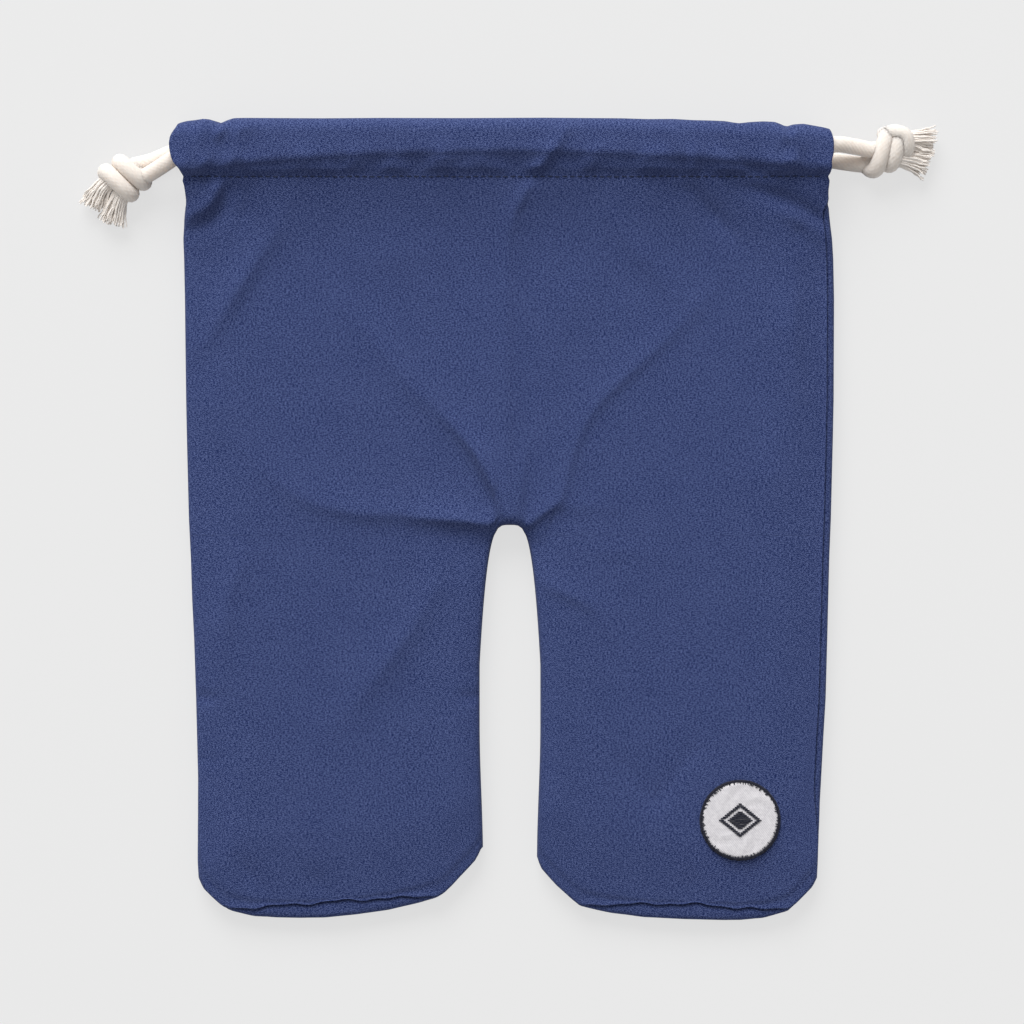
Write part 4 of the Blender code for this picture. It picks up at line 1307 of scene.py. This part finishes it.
# navy thread, coloured darker than the canvas: partly its own colour and partly painted shade where the
# stitches sink into the cloth
navyThreadPaintedShade = makeThread("navyThreadPaintedShade", (0.006, 0.010, 0.032), (0.022, 0.034, 0.090))
sewCasing("frontStitches", frontPanel, 1, navyThreadPaintedShade)
sewCasing("backStitches", backPanel, -1, navyThreadPaintedShade)
print("casings are stitched")


# Badge

overlock = dict(
    count=110, thread=0.23 * mm, reach=2.2 * mm, rimParts=24,
    rim=((0.75, 0.15), (0.3, 0.1), (0.0, -0.35), (0.1, -0.9)),  # in from the edge and up from the top, in mm
)
darning = dict(row=0.8 * mm, length=3.4 * mm, overlap=0.1 * mm, thread=0.34 * mm, arch=0.25 * mm)


def onBadge(size, angle, z):  # a point this far from the badge's middle
    return badgeX + size * math.cos(angle), badgeY + size * math.sin(angle), z


def makeBadge():
    radius = badge["diameter"] / 2
    groundRadius = radius - badge["rim"] - badge["restGap"]
    top = badgeZ + badge["thickness"]
    rings, turns = 14, 96
    points, faces = [(badgeX, badgeY, top)], []
    for k in range(1, rings + 1):
        for j in range(turns):
            angle = 2 * math.pi * j / turns
            wave = 0.16 * math.sin(angle * 5 + k * 0.9) * (k / rings) + 0.08 * math.sin(angle * 11 + k)
            points.append(onBadge(groundRadius * k / rings, angle, top + wave * mm))
    for j in range(turns):
        faces.append((0, 1 + j, 1 + (j + 1) % turns))
        for k in range(rings - 1):
            a, b = 1 + k * turns, 1 + (k + 1) * turns
            faces.append((a + j, b + j, b + (j + 1) % turns, a + (j + 1) % turns))
    ground = newPiece("badgeGround", meshOf("badgeGround", points, faces), makeTwill())
    layer = ground.modifiers.new("cloth", "SOLIDIFY")
    layer.thickness = badge["thickness"]
    layer.offset = -1
    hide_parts("badge_ground")

    darkThread = makeThread("darkThread", (0.006, 0.007, 0.014), (0.03, 0.032, 0.055))
    rng = np.random.default_rng(5)
    lines = []
    for k in range(overlock["count"]):
        angle = 2 * math.pi * (k + rng.uniform(-0.3, 0.3)) / overlock["count"]
        lean = math.radians(rng.normal(0, 1.2))
        inner = radius - overlock["reach"] * rng.uniform(0.6, 1.15)
        places = (
            (inner, lean, -0.3),
            (inner + 0.5 * mm, lean * 0.7, 0.25),
            (radius - 0.7 * mm, 0.0, 0.45),
            (radius - 0.1 * mm, 0.0, -0.6),
        )
        lines.append([onBadge(size, angle + turn, top + z * mm) for size, turn, z in places])
    for ring, (inset, z) in enumerate(overlock["rim"]):  # threads that run round along the rim
        for k in range(overlock["rimParts"]):
            turns = np.linspace(k - 0.05, k + 1.05, 5) * 2 * math.pi / overlock["rimParts"] + ring * 0.3
            sizes = radius - inset * mm + rng.normal(0, 0.07, 5) * mm
            lines.append([onBadge(size, turn, top + z * mm) for size, turn in zip(sizes, turns)])
    edge = threadsFrom(
        "badgeBorder", lines, [(0, 0, 1)] * len(lines), darkThread, "dark_thread",
        **{"Thread Radius": overlock["thread"], "Points": 9},
    )
    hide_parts("badge_border")

    lines = []
    halfX, halfY = (size / 2 for size in badge["motif"])
    count = int(halfY / darning["row"])
    for k in range(-count, count + 1):
        y = k * darning["row"]
        spans = []
        for outer, inner in ((1.0, 0.79), (0.58, 0.0)):
            far = halfX * (outer - abs(y) / halfY)
            near = halfX * (inner - abs(y) / halfY)
            if far > 0.4 * mm:
                spans += [(near, far), (-far, -near)] if near > 0.2 * mm else [(-far, far)]
        for start, end in spans:
            pieces = max(1, round((end - start) / darning["length"]))
            cuts = np.linspace(start, end, pieces + 1)
            for a, b in zip(cuts, cuts[1:]):
                startX, endX = badgeX + a - darning["overlap"], badgeX + b + darning["overlap"]
                startY, endY = badgeY + y + rng.normal(0, 0.06, 2) * mm
                lines.append([(startX, startY, top + 0.1 * mm), (endX, endY, top + 0.1 * mm)])
    motif = threadsFrom(
        "badgeDiamond", lines, [(0, 0, 1)] * len(lines), darkThread, "dark_thread",
        **{"Thread Radius": darning["thread"], "Arch": darning["arch"]},
    )
    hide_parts("badge_diamond", "badge_diamond_centre")
    for each in (ground, edge, motif):
        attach(each, "root")


makeBadge()
print("badge is sewn on")
